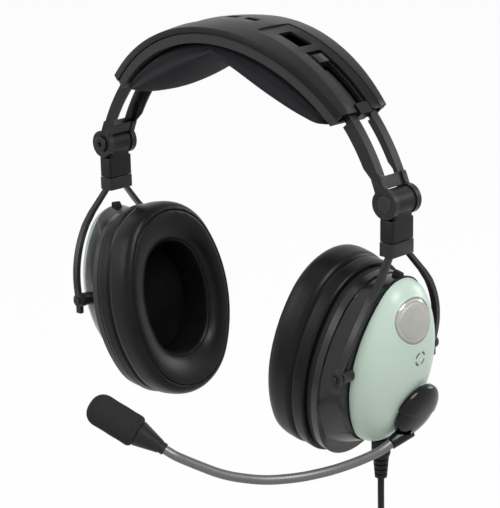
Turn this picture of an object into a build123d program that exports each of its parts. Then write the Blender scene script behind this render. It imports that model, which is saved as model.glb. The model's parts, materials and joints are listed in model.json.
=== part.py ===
# Aviation headset: a folding headband with two sliding arms, two stirrups that carry the ear
# cups, a microphone boom on the left cup and a cord that ends in a helicopter-type plug.
# Frame: the origin is the spot of the head pad's underside that rests on the crown of the head.
# X points to the wearer's left ear, Y to the back of the head, Z up. Millimetres.
from build123d import *
from math import atan2, cos, degrees, pi, radians, sin, sqrt, tan
import os

os.makedirs("parts", exist_ok=True)

# Headband
crown_height = 16.5  # top of the shell above the seat on the head
band_radius = 108.5  # outer face of the shell, about the arc's centre line
tip_angle = 47.8  # end of the shell, from the crown
shell_wall = 2.6
shell_crown_width = 48.0
shell_tip_width = 32.0
shell_crown_sag = 2.2  # the shell is arched from front to back as well
lip_wall = 2.2
rim_depth = 5.0  # the shell's rim ends this far below its outer face
carrier_clearance = 0.3
carrier_wall = 1.6
carrier_step = 0.5  # the carrier stands back this far under the shell's rim
carrier_plate = 2.6
channel_width = 23.0
channel_depth = 0.9
channel_start_angle = 11.0
slot_width = 11.0
slot_start_angle = 25.9
window_width = 9.5
window_start_angle = 15.2
window_end_angle = 23.2
pocket_width = 4.2
pocket_start_angle = 1.2
pocket_end_angle = 5.6
pocket_depth = 1.3
pad_clearance = 0.3
pad_length_angle = 46.5
pad_crown_width = 46.0
pad_tip_width = 27.0
pad_middle_depth = 18.7  # deepest line of the pad's rounded underside, below the carrier
pad_edge_depth = 10.2
pad_lobe_depths = (13.2, 18.2, 15.7, 9.2)  # down one lobe, from the notch to the tip
pad_lobe_angles = (8, 22, 36, 44)
pad_tip_depth = 2.0
cutter = 20.0  # depth of the blocks that only cut

# Sliding arms
arm_width = 19.4
arm_play = 0.4  # between the arms and the shell above them or the carrier below
arm_thickness = 2.4
arm_start_angle = 24.5
arm_slot_start_angle = 30.5
arm_slot_end_lead = 7.2  # degrees before the hinge
arm_bar_end_lead = 3.8
arm_slot_width = 9.4
flange_thickness = 1.4
flange_inside_depth = 1.9
flange_outside_depth = 4.6
flange_start_lag = 1.2  # degrees after the tip of the shell
flange_taper_lead = 12.8
flange_end_lead = 6.8
clip_width = 8.4
clip_start_lead = 2.2  # degrees before the tip of the shell
clip_end_lag = 1.0
clip_recess = 0.3  # below the shell's outer face
stop_width = 6.6
stop_height = 2.0
stop_start_angle = 27.3

# Fold hinges
hinge_inset = 4.25  # hinge axis inside the shell's outer radius
hinge_rise = 81.3  # above the ear pivots
ear_radius = 7.3
ear_thickness = 3.2
barrel_radius = 6.6
barrel_clearance = 0.15  # between the barrel's ends and the ears
knuckle_top_gap = 0.5  # between the ears and the knuckle's shoulders
screw_thickness = 2.0
screw_socket_radius = 1.6
screw_socket_depth = 1.2
fold_pin_radius = 2.5
pin_clearance = 0.05
cap_radius = 4.3
cap_thickness = 1.0
cap_recess = 0.7

# Knuckles, swivels and stirrups
knuckle_depth = 8.5  # along X
knuckle_width = 16.0  # along Y
knuckle_bottom_rise = 62.5
knuckle_edge = 1.2
swivel_gap = 0.4
swivel_pin_radius = 2.0
swivel_pin_top_rise = 72.0
swivel_head_gap = 0.1
swivel_head_radius = 3.3
swivel_head_thickness = 1.2
collar_depth = 8.8
collar_width = 16.4
collar_bottom_rise = 55.4
strap_thickness = 2.4
strap_width = 3.4  # along X
strap_half_span = 37.6  # outer faces of the straps at the ear pivots
strap_bend_drop = 9.9  # the bend's centre is this far below the ear pivots
strap_bend_radius = 82.6  # middle line
strap_knee_angle = 35.4
strap_root_half_span = 5.8
strap_bow = 3.2  # the straps bow outwards, clear of the dome
strap_shoulder = 2.6
strap_shoulder_rise = 44.0
strap_foot = 7.0  # below the ear pivots
eye_radius = 3.7
pivot_screw_radius = 1.5
pivot_head_radius = 2.1
pivot_head_thickness = 1.4
pivot_screw_reach = 9.4

# Ear cups; cup sizes run outwards from the plane of the two ear pivots
pivot_inset = 6.9  # ear pivots inside the hinges
pivot_drop = 142.5  # ear pivots below the seat on the head
cup_tilt = 12.0  # the top of the cup leans outwards
seal_width = 75.0
seal_height = 106.3
seal_end_radius = 32.0
seal_hole_width = 43.0
seal_hole_height = 60.0
seal_drop = 7.0  # centre of the seal below the pivots
seal_lead = 1.0  # and in front of them
seal_face = -43.1
seal_waist = -26.8
seal_foot = -25.6
seal_back = -17.9
seal_round = 7.0
seal_back_round = 3.0
seal_waist_inset = 2.0
seal_foot_inset = 1.0
seal_hole_end_radius = 19.5
seal_hole_round = 5.0
baffle_width = 69.0
baffle_height = 100.0
baffle_end_radius = 29.0
baffle_back = -17.6
baffle_thickness = 3.0
layer_gap = 0.2
rim_thickness = 3.9
bowl_width = 66.0
bowl_height = 93.5
bowl_top_radius = 26.0
bowl_bottom_radius = 28.0
bowl_drop = 4.5
bowl_end_width = 60.5
bowl_end_height = 89.8
bowl_end_top_radius = 19.0
bowl_end_bottom_radius = 22.5
bowl_outer_face = 0.6
cup_wall = 2.2
dome_gap = 0.4
dome_width = 53.0
dome_height = 88.5
dome_rise = 0.7
dome_depth = 18.6
dome_wall = 2.0
dome_steps = (0, 0.3, 0.5, 0.66, 0.79, 0.89, 0.96, 0.995)
dome_top_radius = 16.5
dome_bottom_radius = 19.5
boss_radius = 3.6
boss_clearance = 0.8  # the straps start to curve in beside the bosses
speaker_radius = 19.0
speaker_flange_radius = 21.5
speaker_flange = 1.6
speaker_magnet_radius = 13.0
speaker_depth = 8.0
speaker_clearance = 0.1
grille_hole_radius = 2.2
grille_ring = 10.0
foam_clearance = 0.6
foam_thickness = 2.8
badge_radius = 11.2
badge_rise = 29.0
badge_lead = 2.5
badge_lean = 18.0
badge_clearance = 0.1
badge_depth = 1.4
badge_lens_depth = 0.6
badge_lens_rise = 0.3
vent_radius = 3.3
vent_rise = 9.5
vent_back = 1.0
vent_depth = 0.9
vent_slit_radius = 2.4
vent_slit_width = 0.8
boot_width = 6.0
boot_height = 6.0
boot_foot = 41.5  # above the ear pivots
boot_start = -4.0

# Microphone boom
hub_drop = 20.0  # below the ear pivots, in the cup's own plane
hub_back = 6.0
hub_lean = 10.0
hub_seat_radius = 12.5
hub_seat_height = 0.6
hub_radius = 14.6
hub_thickness = 6.8
hub_rim = 2.0
hub_gap = 0.3
hub_shaft_radius = 3.2
hub_shaft_length = 8.0
ferrule_root_from_hub = (-0.8, -2.5, -11.3)
ferrule_length = 12.0
ferrule_root_radius = 4.2
ferrule_tip_radius = 3.1
boom_radius = 2.35
boom_route = [  # from the hub's centre; the first point moves to the ferrule's tip
    (-3.8, -13.6, -16.3), (-5.3, -19.2, -18.8), (-8.2, -31.5, -20.8), (-12.6, -45.5, -22.2),
    (-20.3, -60.5, -23.4), (-32.3, -73.5, -24.2), (-48.3, -83.8, -22.8), (-63.8, -90.2, -18.6),
    (-72.1, -93.1, -16.4), (-76.8, -95.6, -13.5)]
clamp_sleeve_length = 2.5
clamp_length = 12.5
clamp_radius = 6.6
clamp_neck_radius = 3.0
clamp_neck_length = 2.5
capsule_radius = 5.2
capsule_length = 17.0
muff_radius = 8.1
muff_length = 27.5
muff_clearance = 0.3

# Cord and plug
relief_inset = 3.2  # inside the ear pivots
relief_y = 0.8
relief_top_drop = 42.5  # below the ear pivots
relief_tip_drop = 63.0
relief_root_radius = 4.8
relief_neck_radius = 4.0
relief_tip_radius = 3.1
relief_clearance = 0.1
relief_rings = 4
relief_ring_pitch = 2.6
relief_groove = 0.8
cord_radius = 1.7
cord_route = [  # from the tip of the strain relief
    (0, 0, 0), (0, 0, -9.5), (-4.5, 5.6, -24.0), (-9.9, 11.6, -37.5), (-12.3, 13.8, -52.5),
    (-12.5, 13.9, -70.5), (-12.5, 13.9, -89.0)]
coil_slack = 0.15
coil_stub = 12.0
coil_turn_radius = 19.0  # middle of the wound turns
coil_columns = 6
coil_rows = 2
tie_wall = 1.2
tie_clearance = 0.25
tie_sweep = 30.0
tail_length = 8.0
plug_pin_radius = 3.57  # 7.14 mm, the standard four-contact helicopter plug
pin_waist_radius = 2.6
pin_tip_length = 6.0
plug_pin_length = 30.5
plug_body_radius = 6.4
plug_body_length = 22.0
plug_boot_length = 11.0

# Places that follow from the sizes above
arc_z = crown_height - band_radius
lip_radius = band_radius - rim_depth
clip_top_radius = band_radius - clip_recess
arm_outer_radius = band_radius - shell_wall - arm_play
arm_inner_radius = arm_outer_radius - arm_thickness
bar_inner_radius = arm_inner_radius - flange_inside_depth
carrier_radius = bar_inner_radius - arm_play  # upper face of the plate that carries the pad
carrier_bottom_radius = carrier_radius - carrier_plate
pivot_z = -pivot_drop
hinge_z = pivot_z + hinge_rise
hinge_x = sqrt((band_radius - hinge_inset) ** 2 - (hinge_z - arc_z) ** 2)
hinge_angle = degrees(atan2(hinge_x, hinge_z - arc_z))
arm_slot_end_angle = hinge_angle - arm_slot_end_lead
arm_bar_end_angle = hinge_angle - arm_bar_end_lead
pivot_x = hinge_x - pivot_inset
relief_x = pivot_x - relief_inset
arc_axis = Axis((0, 0, arc_z), (0, 1, 0))
fold_axis = Axis((hinge_x, 0, hinge_z), (0, 1, 0))


def band_plane(angle):
    """Plane through the arc's axis, turned from the crown; its y is the radius, its x runs back."""
    turn = radians(angle)
    return Plane(origin=(0, 0, arc_z), x_dir=(0, 1, 0), z_dir=(cos(turn), 0, -sin(turn)))


def cup_plane(outwards, tilt=cup_tilt):
    """Plane of the left cup at a distance from its pivots; x runs back and y runs up."""
    turn = radians(tilt)
    middle = Plane(origin=(pivot_x, 0, pivot_z), x_dir=(0, 1, 0), z_dir=(cos(turn), 0, -sin(turn)))
    return middle.offset(outwards)


def egg_points(width, height, top_radius, bottom_radius):
    """Eight points of an egg: two end circles and two flanks that touch both of them.

    A flank's radius R and height c follow from R = ((w/2)^2 - r^2 + (c - y)^2) / (w - 2r),
    which both end circles (radius r at height y) must give alike.
    """
    half = width / 2
    top_y, bottom_y = height / 2 - top_radius, bottom_radius - height / 2
    top_k, bottom_k = width - 2 * top_radius, width - 2 * bottom_radius
    a = 1 / top_k - 1 / bottom_k
    b = -2 * top_y / top_k + 2 * bottom_y / bottom_k
    c = (half**2 - top_radius**2 + top_y**2) / top_k
    c -= (half**2 - bottom_radius**2 + bottom_y**2) / bottom_k
    if abs(a) < 1e-9:
        flank_y = -c / b
    else:
        root = sqrt(b * b - 4 * a * c)
        flank_y = min(((-b + root) / (2 * a), (-b - root) / (2 * a)), key=abs)
    flank_radius = (half**2 - top_radius**2 + (flank_y - top_y) ** 2) / top_k
    flank_x = half - flank_radius
    points = []
    for end_y in (bottom_y, top_y):
        away = sqrt(flank_x**2 + (end_y - flank_y) ** 2)
        points.append((flank_x - flank_x / away * flank_radius,
                       flank_y + (end_y - flank_y) / away * flank_radius))
    (low_x, low_y), (high_x, high_y) = points
    return [(low_x, low_y), (half, flank_y), (high_x, high_y), (0, height / 2),
            (-high_x, high_y), (-half, flank_y), (-low_x, low_y), (0, -height / 2)]


def egg(width, height, top_radius, bottom_radius):
    """The egg as a face of four arcs."""
    p = egg_points(width, height, top_radius, bottom_radius)
    with BuildSketch() as face:
        with BuildLine():
            ThreePointArc(p[0], p[1], p[2])
            ThreePointArc(p[2], p[3], p[4])
            ThreePointArc(p[4], p[5], p[6])
            ThreePointArc(p[6], p[7], p[0])
        make_face()
    return face.sketch


def oval(width, height, end_radius):
    """An egg with two like ends."""
    return egg(width, height, end_radius, end_radius)


def save(piece, name):
    piece.part.label = name
    export_step(piece.part, f"parts/{name}.step")


def save_pair(piece, name):
    """Writes a left piece and its mirror image on the right."""
    save(piece, f"{name}_left")
    with BuildPart() as twin:
        mirror(piece.part, about=Plane.YZ)
    save(twin, f"{name}_right")


def band_outline(crown_width, tip_width):
    """Plan of the headband: widest at the crown, with one arc along the front and one behind."""
    tip_x = band_radius * sin(radians(tip_angle))
    reach = band_radius + cutter
    with BuildSketch() as face:
        with BuildLine():
            front = ThreePointArc((-tip_x, -tip_width / 2), (0, -crown_width / 2), (tip_x, -tip_width / 2))
            back = ThreePointArc((-tip_x, tip_width / 2), (0, crown_width / 2), (tip_x, tip_width / 2))
            Polyline(front @ 1, (reach, -tip_width / 2), (reach, tip_width / 2), back @ 1)
            Polyline(front @ 0, (-reach, -tip_width / 2), (-reach, tip_width / 2), back @ 0)
        make_face()
    return face.sketch


# ---------------------------------------------------------------- headband
plan_top = Plane.XY.offset(crown_height + 1)
plan_depth = band_radius + crown_height

with BuildPart() as shell_core:
    with BuildSketch(band_plane(-tip_angle - 1)):
        with Locations((0, band_radius - shell_wall - cutter / 2)):
            Rectangle(shell_crown_width + cutter, cutter)
    revolve(axis=arc_axis, revolution_arc=2 * tip_angle + 2)
    with BuildSketch(plan_top):
        add(band_outline(shell_crown_width - 2 * lip_wall, shell_tip_width - 2 * lip_wall))
    extrude(amount=-plan_depth, mode=Mode.INTERSECT)

with BuildPart() as band_shell:
    with BuildSketch(band_plane(-tip_angle)):
        with BuildLine():
            crest = ThreePointArc((-shell_crown_width / 2, band_radius - shell_crown_sag), (0, band_radius),
                                  (shell_crown_width / 2, band_radius - shell_crown_sag))
            Polyline(crest @ 1, (shell_crown_width / 2, lip_radius),
                     (-shell_crown_width / 2, lip_radius), crest @ 0)
        make_face()
    revolve(axis=arc_axis, revolution_arc=2 * tip_angle)
    with BuildSketch(plan_top):
        add(band_outline(shell_crown_width, shell_tip_width))
    extrude(amount=-plan_depth, mode=Mode.INTERSECT)
    add(shell_core.part, mode=Mode.SUBTRACT)
    for start in (channel_start_angle, -tip_angle - 1):
        with BuildSketch(band_plane(start)):
            with Locations((0, band_radius - channel_depth + cutter / 2)):
                Rectangle(channel_width, cutter)
        revolve(axis=arc_axis, revolution_arc=tip_angle + 1 - channel_start_angle, mode=Mode.SUBTRACT)
    for start in (slot_start_angle, -tip_angle - 1):
        with BuildSketch(band_plane(start)):
            with Locations((0, band_radius)):
                Rectangle(slot_width, 8 * shell_wall)
        revolve(axis=arc_axis, revolution_arc=tip_angle + 1 - slot_start_angle, mode=Mode.SUBTRACT)
    for start in (window_start_angle, -window_end_angle):
        with BuildSketch(band_plane(start)):
            with Locations((0, band_radius)):
                Rectangle(window_width, 3 * shell_wall)
        revolve(axis=arc_axis, revolution_arc=window_end_angle - window_start_angle, mode=Mode.SUBTRACT)
    for start in (pocket_start_angle, -pocket_end_angle):
        with BuildSketch(band_plane(start)):
            with Locations((0, band_radius - pocket_depth + cutter / 2)):
                Rectangle(pocket_width, cutter)
        revolve(axis=arc_axis, revolution_arc=pocket_end_angle - pocket_start_angle, mode=Mode.SUBTRACT)
save(band_shell, "band_shell")

carrier_crown_width = shell_crown_width - 2 * carrier_step
carrier_tip_width = shell_tip_width - 2 * carrier_step
carrier_top_radius = lip_radius - carrier_clearance
with BuildPart() as carrier_core:
    with BuildSketch(band_plane(-tip_angle - 1)):
        with Locations((0, carrier_radius + cutter / 2)):
            Rectangle(shell_crown_width + cutter, cutter)
    revolve(axis=arc_axis, revolution_arc=2 * tip_angle + 2)
    with BuildSketch(plan_top):
        add(band_outline(carrier_crown_width - 2 * carrier_wall, carrier_tip_width - 2 * carrier_wall))
    extrude(amount=-plan_depth, mode=Mode.INTERSECT)

with BuildPart() as pad_carrier:
    with BuildSketch(band_plane(-tip_angle)):
        with Locations((0, (carrier_top_radius + carrier_bottom_radius) / 2)):
            Rectangle(shell_crown_width, carrier_top_radius - carrier_bottom_radius)
    revolve(axis=arc_axis, revolution_arc=2 * tip_angle)
    with BuildSketch(plan_top):
        add(band_outline(carrier_crown_width, carrier_tip_width))
    extrude(amount=-plan_depth, mode=Mode.INTERSECT)
    add(carrier_core.part, mode=Mode.SUBTRACT)
save(pad_carrier, "pad_carrier")


def polar(radius, angle):
    """Point of the middle plane (x, z) at a radius about the arc's centre and an angle from the crown."""
    return (radius * sin(radians(angle)), arc_z + radius * cos(radians(angle)))


# The pad is two soft lobes that meet in a notch at the crown.
pad_top_radius = carrier_bottom_radius - pad_clearance
pad_underside = [(-arc_z, 0)]
pad_underside += [(carrier_bottom_radius - d, a) for d, a in zip(pad_lobe_depths, pad_lobe_angles)]
pad_underside += [(pad_top_radius - pad_tip_depth, pad_length_angle)]
pad_edge_radius = carrier_bottom_radius - pad_edge_depth
pad_middle_radius = carrier_bottom_radius - pad_middle_depth
with BuildPart() as head_pad:
    with BuildSketch(Plane.XZ):
        with BuildLine():
            top = ThreePointArc(polar(pad_top_radius, -pad_length_angle), polar(pad_top_radius, 0),
                                polar(pad_top_radius, pad_length_angle))
            left_lobe = Spline(*[polar(r, a) for r, a in pad_underside])
            right_lobe = Spline(*[polar(r, -a) for r, a in pad_underside])
            Line(top @ 1, left_lobe @ 1)
            Line(top @ 0, right_lobe @ 1)
        make_face()
    extrude(amount=pad_crown_width / 2, both=True)
    with BuildSketch(band_plane(-tip_angle)):
        with BuildLine():
            belly = ThreePointArc((-pad_crown_width / 2, pad_edge_radius), (0, pad_middle_radius),
                                  (pad_crown_width / 2, pad_edge_radius))
            Polyline(belly @ 1, (pad_crown_width / 2, band_radius),
                     (-pad_crown_width / 2, band_radius), belly @ 0)
        make_face()
    revolve(axis=arc_axis, revolution_arc=2 * tip_angle, mode=Mode.INTERSECT)
    with BuildSketch(plan_top):
        add(band_outline(pad_crown_width, pad_tip_width))
    extrude(amount=-plan_depth, mode=Mode.INTERSECT)
save(head_pad, "head_pad")

# ---------------------------------------------------------------- sliding arms
ear_inner_face = arm_width / 2 - ear_thickness
deep_radius = arm_inner_radius - flange_outside_depth
neck_outer_radius = arm_outer_radius + 1.0
neck_inner_radius = bar_inner_radius - 0.6
flange_y = (arm_width - flange_thickness) / 2
ear_y = (arm_width - ear_thickness) / 2
flange_start_angle = tip_angle + flange_start_lag
flange_taper_angle = hinge_angle - flange_taper_lead
flange_end_angle = hinge_angle - flange_end_lead
clip_start_angle = tip_angle - clip_start_lead
clip_end_angle = tip_angle + clip_end_lag

with BuildPart() as slider_arm:
    with BuildSketch(band_plane(arm_start_angle)):
        with Locations((0, (arm_outer_radius + arm_inner_radius) / 2)):
            Rectangle(arm_width, arm_thickness)
        for side in (-1, 1):
            with Locations((side * flange_y, (arm_inner_radius + bar_inner_radius) / 2)):
                Rectangle(flange_thickness, flange_inside_depth)
    revolve(axis=arc_axis, revolution_arc=arm_bar_end_angle - arm_start_angle)
    with BuildSketch(band_plane(flange_start_angle)):
        for side in (-1, 1):
            with Locations((side * flange_y, (arm_inner_radius + deep_radius) / 2)):
                Rectangle(flange_thickness, flange_outside_depth)
    revolve(axis=arc_axis, revolution_arc=flange_end_angle - flange_start_angle)
    with BuildSketch(Plane.XZ):
        with BuildLine():
            Polyline(polar(deep_radius - 1, flange_taper_angle), polar(bar_inner_radius, flange_end_angle),
                     polar(bar_inner_radius, flange_end_angle + 1), polar(deep_radius - 1, flange_end_angle + 1),
                     close=True)
        make_face()
    extrude(amount=arm_width, both=True, mode=Mode.SUBTRACT)
    with BuildSketch(band_plane(arm_slot_end_angle)):
        with Locations((0, (arm_outer_radius + bar_inner_radius) / 2)):
            Rectangle(arm_width, arm_outer_radius - bar_inner_radius)
    revolve(axis=arc_axis, revolution_arc=arm_bar_end_angle - arm_slot_end_angle)
    with BuildSketch(band_plane(stop_start_angle)):
        with Locations((0, arm_outer_radius + stop_height / 2 - 0.5)):
            Rectangle(stop_width, stop_height + 1)
    revolve(axis=arc_axis, revolution_arc=arm_slot_start_angle - stop_start_angle)
    with BuildSketch(band_plane(arm_slot_start_angle)):
        with Locations((0, arm_outer_radius)):
            Rectangle(arm_slot_width, 4 * arm_thickness)
    revolve(axis=arc_axis, revolution_arc=arm_slot_end_angle - arm_slot_start_angle, mode=Mode.SUBTRACT)
    with BuildSketch(band_plane(arm_slot_end_angle)):
        for side in (-1, 1):
            with Locations((side * ear_y, (neck_outer_radius + neck_inner_radius) / 2)):
                Rectangle(ear_thickness, neck_outer_radius - neck_inner_radius)
    revolve(axis=arc_axis, revolution_arc=arm_bar_end_angle + 2.0 - arm_slot_end_angle)
    for face_y in (-arm_width / 2, ear_inner_face):
        with BuildSketch(Plane.XZ.offset(-face_y)):
            with Locations((hinge_x, hinge_z)):
                Circle(ear_radius)
        extrude(amount=-ear_thickness)
    with BuildSketch(Plane.XZ):
        with Locations((hinge_x, hinge_z)):
            Circle(fold_pin_radius + pin_clearance)
    extrude(amount=arm_width, both=True, mode=Mode.SUBTRACT)
    for face_y in (-arm_width / 2, arm_width / 2 - cap_recess):
        with BuildSketch(Plane.XZ.offset(-face_y)):
            with Locations((hinge_x, hinge_z)):
                Circle(cap_radius + pin_clearance)
        extrude(amount=-cap_recess, mode=Mode.SUBTRACT)
save_pair(slider_arm, "slider_arm")

with BuildPart() as guide_clips:
    for start in (clip_start_angle, -clip_end_angle):
        with BuildSketch(band_plane(start)):
            with Locations((0, (clip_top_radius + carrier_radius) / 2)):
                Rectangle(clip_width, clip_top_radius - carrier_radius)
        revolve(axis=arc_axis, revolution_arc=clip_end_angle - clip_start_angle)
save(guide_clips, "guide_clips")

# ---------------------------------------------------------------- fold hinges
pin_half = arm_width / 2 - cap_recess
with BuildPart() as fold_pin:
    with BuildSketch(Plane.XZ):
        with Locations((hinge_x, hinge_z)):
            Circle(fold_pin_radius)
    extrude(amount=pin_half, both=True)
save_pair(fold_pin, "fold_pin")


def save_turned(piece, name):
    """Writes a left piece and its copy turned half round Z, so front and back change places."""
    save(piece, f"{name}_left")
    with BuildPart() as twin:
        add(piece.part.rotate(Axis.Z, 180))
    save(twin, f"{name}_right")


with BuildPart() as fold_cap:
    with BuildSketch(Plane.XZ.offset(pin_half)):
        with Locations((hinge_x, hinge_z)):
            Circle(cap_radius)
    extrude(amount=cap_thickness)
    chamfer(fold_cap.faces().sort_by(Axis.Y)[0].edges(), cap_thickness / 4)
save_turned(fold_cap, "fold_cap")

with BuildPart() as fold_screw:
    with BuildSketch(Plane.XZ.offset(-pin_half)):
        with Locations((hinge_x, hinge_z)):
            Circle(cap_radius)
    extrude(amount=-screw_thickness)
    chamfer(fold_screw.faces().sort_by(Axis.Y)[-1].edges(), cap_thickness / 3)
    with BuildSketch(Plane.XZ.offset(-pin_half - screw_thickness)):
        with Locations((hinge_x, hinge_z)):
            RegularPolygon(screw_socket_radius, 6)
    extrude(amount=screw_socket_depth, mode=Mode.SUBTRACT)
save_turned(fold_screw, "fold_screw")

knuckle_top = hinge_z - ear_radius - knuckle_top_gap
knuckle_bottom = pivot_z + knuckle_bottom_rise
collar_top = knuckle_bottom - swivel_gap
collar_bottom = pivot_z + collar_bottom_rise
with BuildPart() as knuckle:
    with BuildSketch(Plane.XZ):
        with Locations((hinge_x, hinge_z)):
            Circle(barrel_radius)
        with Locations((hinge_x, (hinge_z + knuckle_top) / 2)):
            Rectangle(knuckle_depth, hinge_z - knuckle_top)
    extrude(amount=ear_inner_face - barrel_clearance, both=True)
    with BuildSketch(Plane.XY.offset(knuckle_bottom)):
        with Locations((hinge_x, 0)):
            RectangleRounded(knuckle_depth, knuckle_width, knuckle_edge)
    extrude(amount=knuckle_top - knuckle_bottom)
    with BuildSketch(Plane.XZ):
        with Locations((hinge_x, hinge_z)):
            Circle(fold_pin_radius + pin_clearance)
    extrude(amount=arm_width, both=True, mode=Mode.SUBTRACT)
    with BuildSketch(Plane.XY.offset(knuckle_bottom)):
        with Locations((hinge_x, 0)):
            Circle(swivel_pin_radius + pin_clearance)
    extrude(amount=swivel_pin_top_rise - knuckle_bottom_rise, mode=Mode.SUBTRACT)
save_pair(knuckle, "knuckle")

head_top = collar_bottom + swivel_head_thickness + 2 * swivel_head_gap
with BuildPart() as swivel_pin:
    with BuildSketch(Plane.XY.offset(head_top - swivel_head_gap - swivel_head_thickness)):
        with Locations((hinge_x, 0)):
            Circle(swivel_head_radius)
    extrude(amount=swivel_head_thickness)
    with BuildSketch(Plane.XY.offset(head_top - swivel_head_gap)):
        with Locations((hinge_x, 0)):
            Circle(swivel_pin_radius)
    extrude(amount=pivot_z + swivel_pin_top_rise - head_top + swivel_head_gap)
save_pair(swivel_pin, "swivel_pin")

# ---------------------------------------------------------------- stirrups
def strap_face(side):
    """One strap seen from outside: from the eye up an arc, then a straight run into the collar."""
    middle_y = strap_half_span - strap_thickness / 2 - sqrt(strap_bend_radius**2 - strap_bend_drop**2)
    edges = []
    for step in (strap_thickness / 2, -strap_thickness / 2):
        radius = strap_bend_radius + step
        low = degrees(atan2(strap_bend_drop, strap_half_span - strap_thickness / 2 - middle_y))
        eye, bend, knee = [(middle_y + radius * cos(radians(t)), radius * sin(radians(t)) - strap_bend_drop)
                           for t in (low, (low + strap_knee_angle) / 2, strap_knee_angle)]
        root = (strap_root_half_span + step, collar_bottom_rise + 1)
        edges.append([(side * y, z) for y, z in (root, knee, bend, eye, (eye[0], -strap_foot))])
    outer, inner = edges
    with BuildSketch() as face:
        with BuildLine():
            Line(outer[0], outer[1])
            ThreePointArc(outer[1], outer[2], outer[3])
            Polyline(outer[3], outer[4], inner[4], inner[3])
            ThreePointArc(inner[3], inner[2], inner[1])
            Polyline(inner[1], inner[0], outer[0])
        make_face()
    return face.sketch


# A strap is its outline from outside, kept within the bowed band that is its outline from the front.
bow_points = [(pivot_x, pivot_z - strap_foot), (pivot_x, pivot_z),
              ((pivot_x + hinge_x) / 2 + strap_bow, pivot_z + strap_shoulder_rise / 2),
              (hinge_x + strap_shoulder, pivot_z + strap_shoulder_rise), (hinge_x, collar_top)]
with BuildPart() as strap_band:
    with BuildSketch(Plane.XZ):
        with BuildLine():
            sides = []
            for step in (-strap_width / 2, strap_width / 2):
                p = [(x + step, z) for x, z in bow_points]
                Line(p[0], p[1])
                ThreePointArc(p[1], p[2], p[3])
                Line(p[3], p[4])
                sides.append(p)
            Line(sides[0][0], sides[1][0])
            Line(sides[0][-1], sides[1][-1])
        make_face()
    extrude(amount=strap_half_span + strap_width, both=True)

with BuildPart() as stirrup:
    with BuildSketch(Plane(origin=(pivot_x, 0, pivot_z), x_dir=(0, 1, 0), z_dir=(1, 0, 0))):
        add(strap_face(1))
        add(strap_face(-1))
    extrude(amount=cutter, both=True)
    add(strap_band.part, mode=Mode.INTERSECT)
    with BuildSketch(Plane.XY.offset(collar_bottom)):
        with Locations((hinge_x, 0)):
            RectangleRounded(collar_depth, collar_width, knuckle_edge)
    extrude(amount=collar_top - collar_bottom)
    for side in (-1, 1):
        with BuildSketch(Plane.XZ.offset(-side * strap_half_span)):
            with Locations((pivot_x, pivot_z)):
                Circle(eye_radius)
        extrude(amount=side * strap_thickness)
    with BuildSketch(Plane.XZ):
        with Locations((pivot_x, pivot_z)):
            Circle(pivot_screw_radius + pin_clearance)
    extrude(amount=strap_half_span + 1, both=True, mode=Mode.SUBTRACT)
    with BuildSketch(Plane.XY.offset(collar_bottom)):
        with Locations((hinge_x, 0)):
            Circle(swivel_head_radius + pin_clearance)
    extrude(amount=head_top - collar_bottom, mode=Mode.SUBTRACT)
    with BuildSketch(Plane.XY.offset(collar_bottom)):
        with Locations((hinge_x, 0)):
            Circle(swivel_pin_radius + pin_clearance)
    extrude(amount=collar_top - collar_bottom, mode=Mode.SUBTRACT)
save_pair(stirrup, "stirrup")

with BuildPart() as pivot_screws:
    for side in (-1, 1):
        with BuildSketch(Plane.XZ.offset(-side * strap_half_span)):
            with Locations((pivot_x, pivot_z)):
                Circle(pivot_screw_radius)
        extrude(amount=side * pivot_screw_reach)
        with BuildSketch(Plane.XZ.offset(-side * strap_half_span)):
            with Locations((pivot_x, pivot_z)):
                Circle(pivot_head_radius)
        extrude(amount=-side * pivot_head_thickness)
        with BuildSketch(Plane.XZ.offset(-side * (strap_half_span + pivot_head_thickness))):
            with Locations((pivot_x, pivot_z)):
                Rectangle(2 * pivot_head_radius, pivot_head_thickness / 2)
        extrude(amount=side * pivot_head_thickness / 2, mode=Mode.SUBTRACT)
save_pair(pivot_screws, "pivot_screws")

# ---------------------------------------------------------------- ear cups
cup_turn = radians(cup_tilt)
cup_axis = Axis((pivot_x, 0, pivot_z), (cos(cup_turn), 0, -sin(cup_turn)))
seal_centre = (-seal_lead, -seal_drop)

with BuildPart() as ear_seal:
    with BuildSketch(cup_plane(seal_face)):
        with Locations(seal_centre):
            add(oval(seal_width, seal_height, seal_end_radius))
    extrude(amount=seal_waist - seal_face)
    fillet(ear_seal.faces().sort_by(cup_axis)[0].edges(), seal_round)
    fillet(ear_seal.faces().sort_by(cup_axis)[-1].edges(), seal_back_round)
    with BuildSketch(cup_plane(seal_waist)):
        with Locations(seal_centre):
            add(oval(seal_width - 2 * seal_waist_inset, seal_height - 2 * seal_waist_inset,
                     seal_end_radius - seal_waist_inset))
    extrude(amount=seal_foot - seal_waist)
    with BuildSketch(cup_plane(seal_foot)):
        with Locations(seal_centre):
            add(oval(seal_width - 2 * seal_foot_inset, seal_height - 2 * seal_foot_inset,
                     seal_end_radius - seal_foot_inset))
    extrude(amount=seal_back - seal_foot)
    with BuildSketch(cup_plane(seal_face - 1)):
        with Locations(seal_centre):
            add(oval(seal_hole_width, seal_hole_height, seal_hole_end_radius))
    extrude(amount=seal_back - seal_face + 2, mode=Mode.SUBTRACT)
    rim = ear_seal.faces().sort_by(cup_axis)[0].inner_wires()
    fillet(rim.edges(), seal_hole_round)
save_pair(ear_seal, "ear_seal")

with BuildPart() as inner_foam:
    with BuildSketch(cup_plane(seal_back - foam_thickness)):
        with Locations(seal_centre):
            add(oval(seal_hole_width - 2 * foam_clearance, seal_hole_height - 2 * foam_clearance,
                     seal_hole_end_radius - foam_clearance))
    extrude(amount=foam_thickness)
save_pair(inner_foam, "inner_foam")

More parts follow.
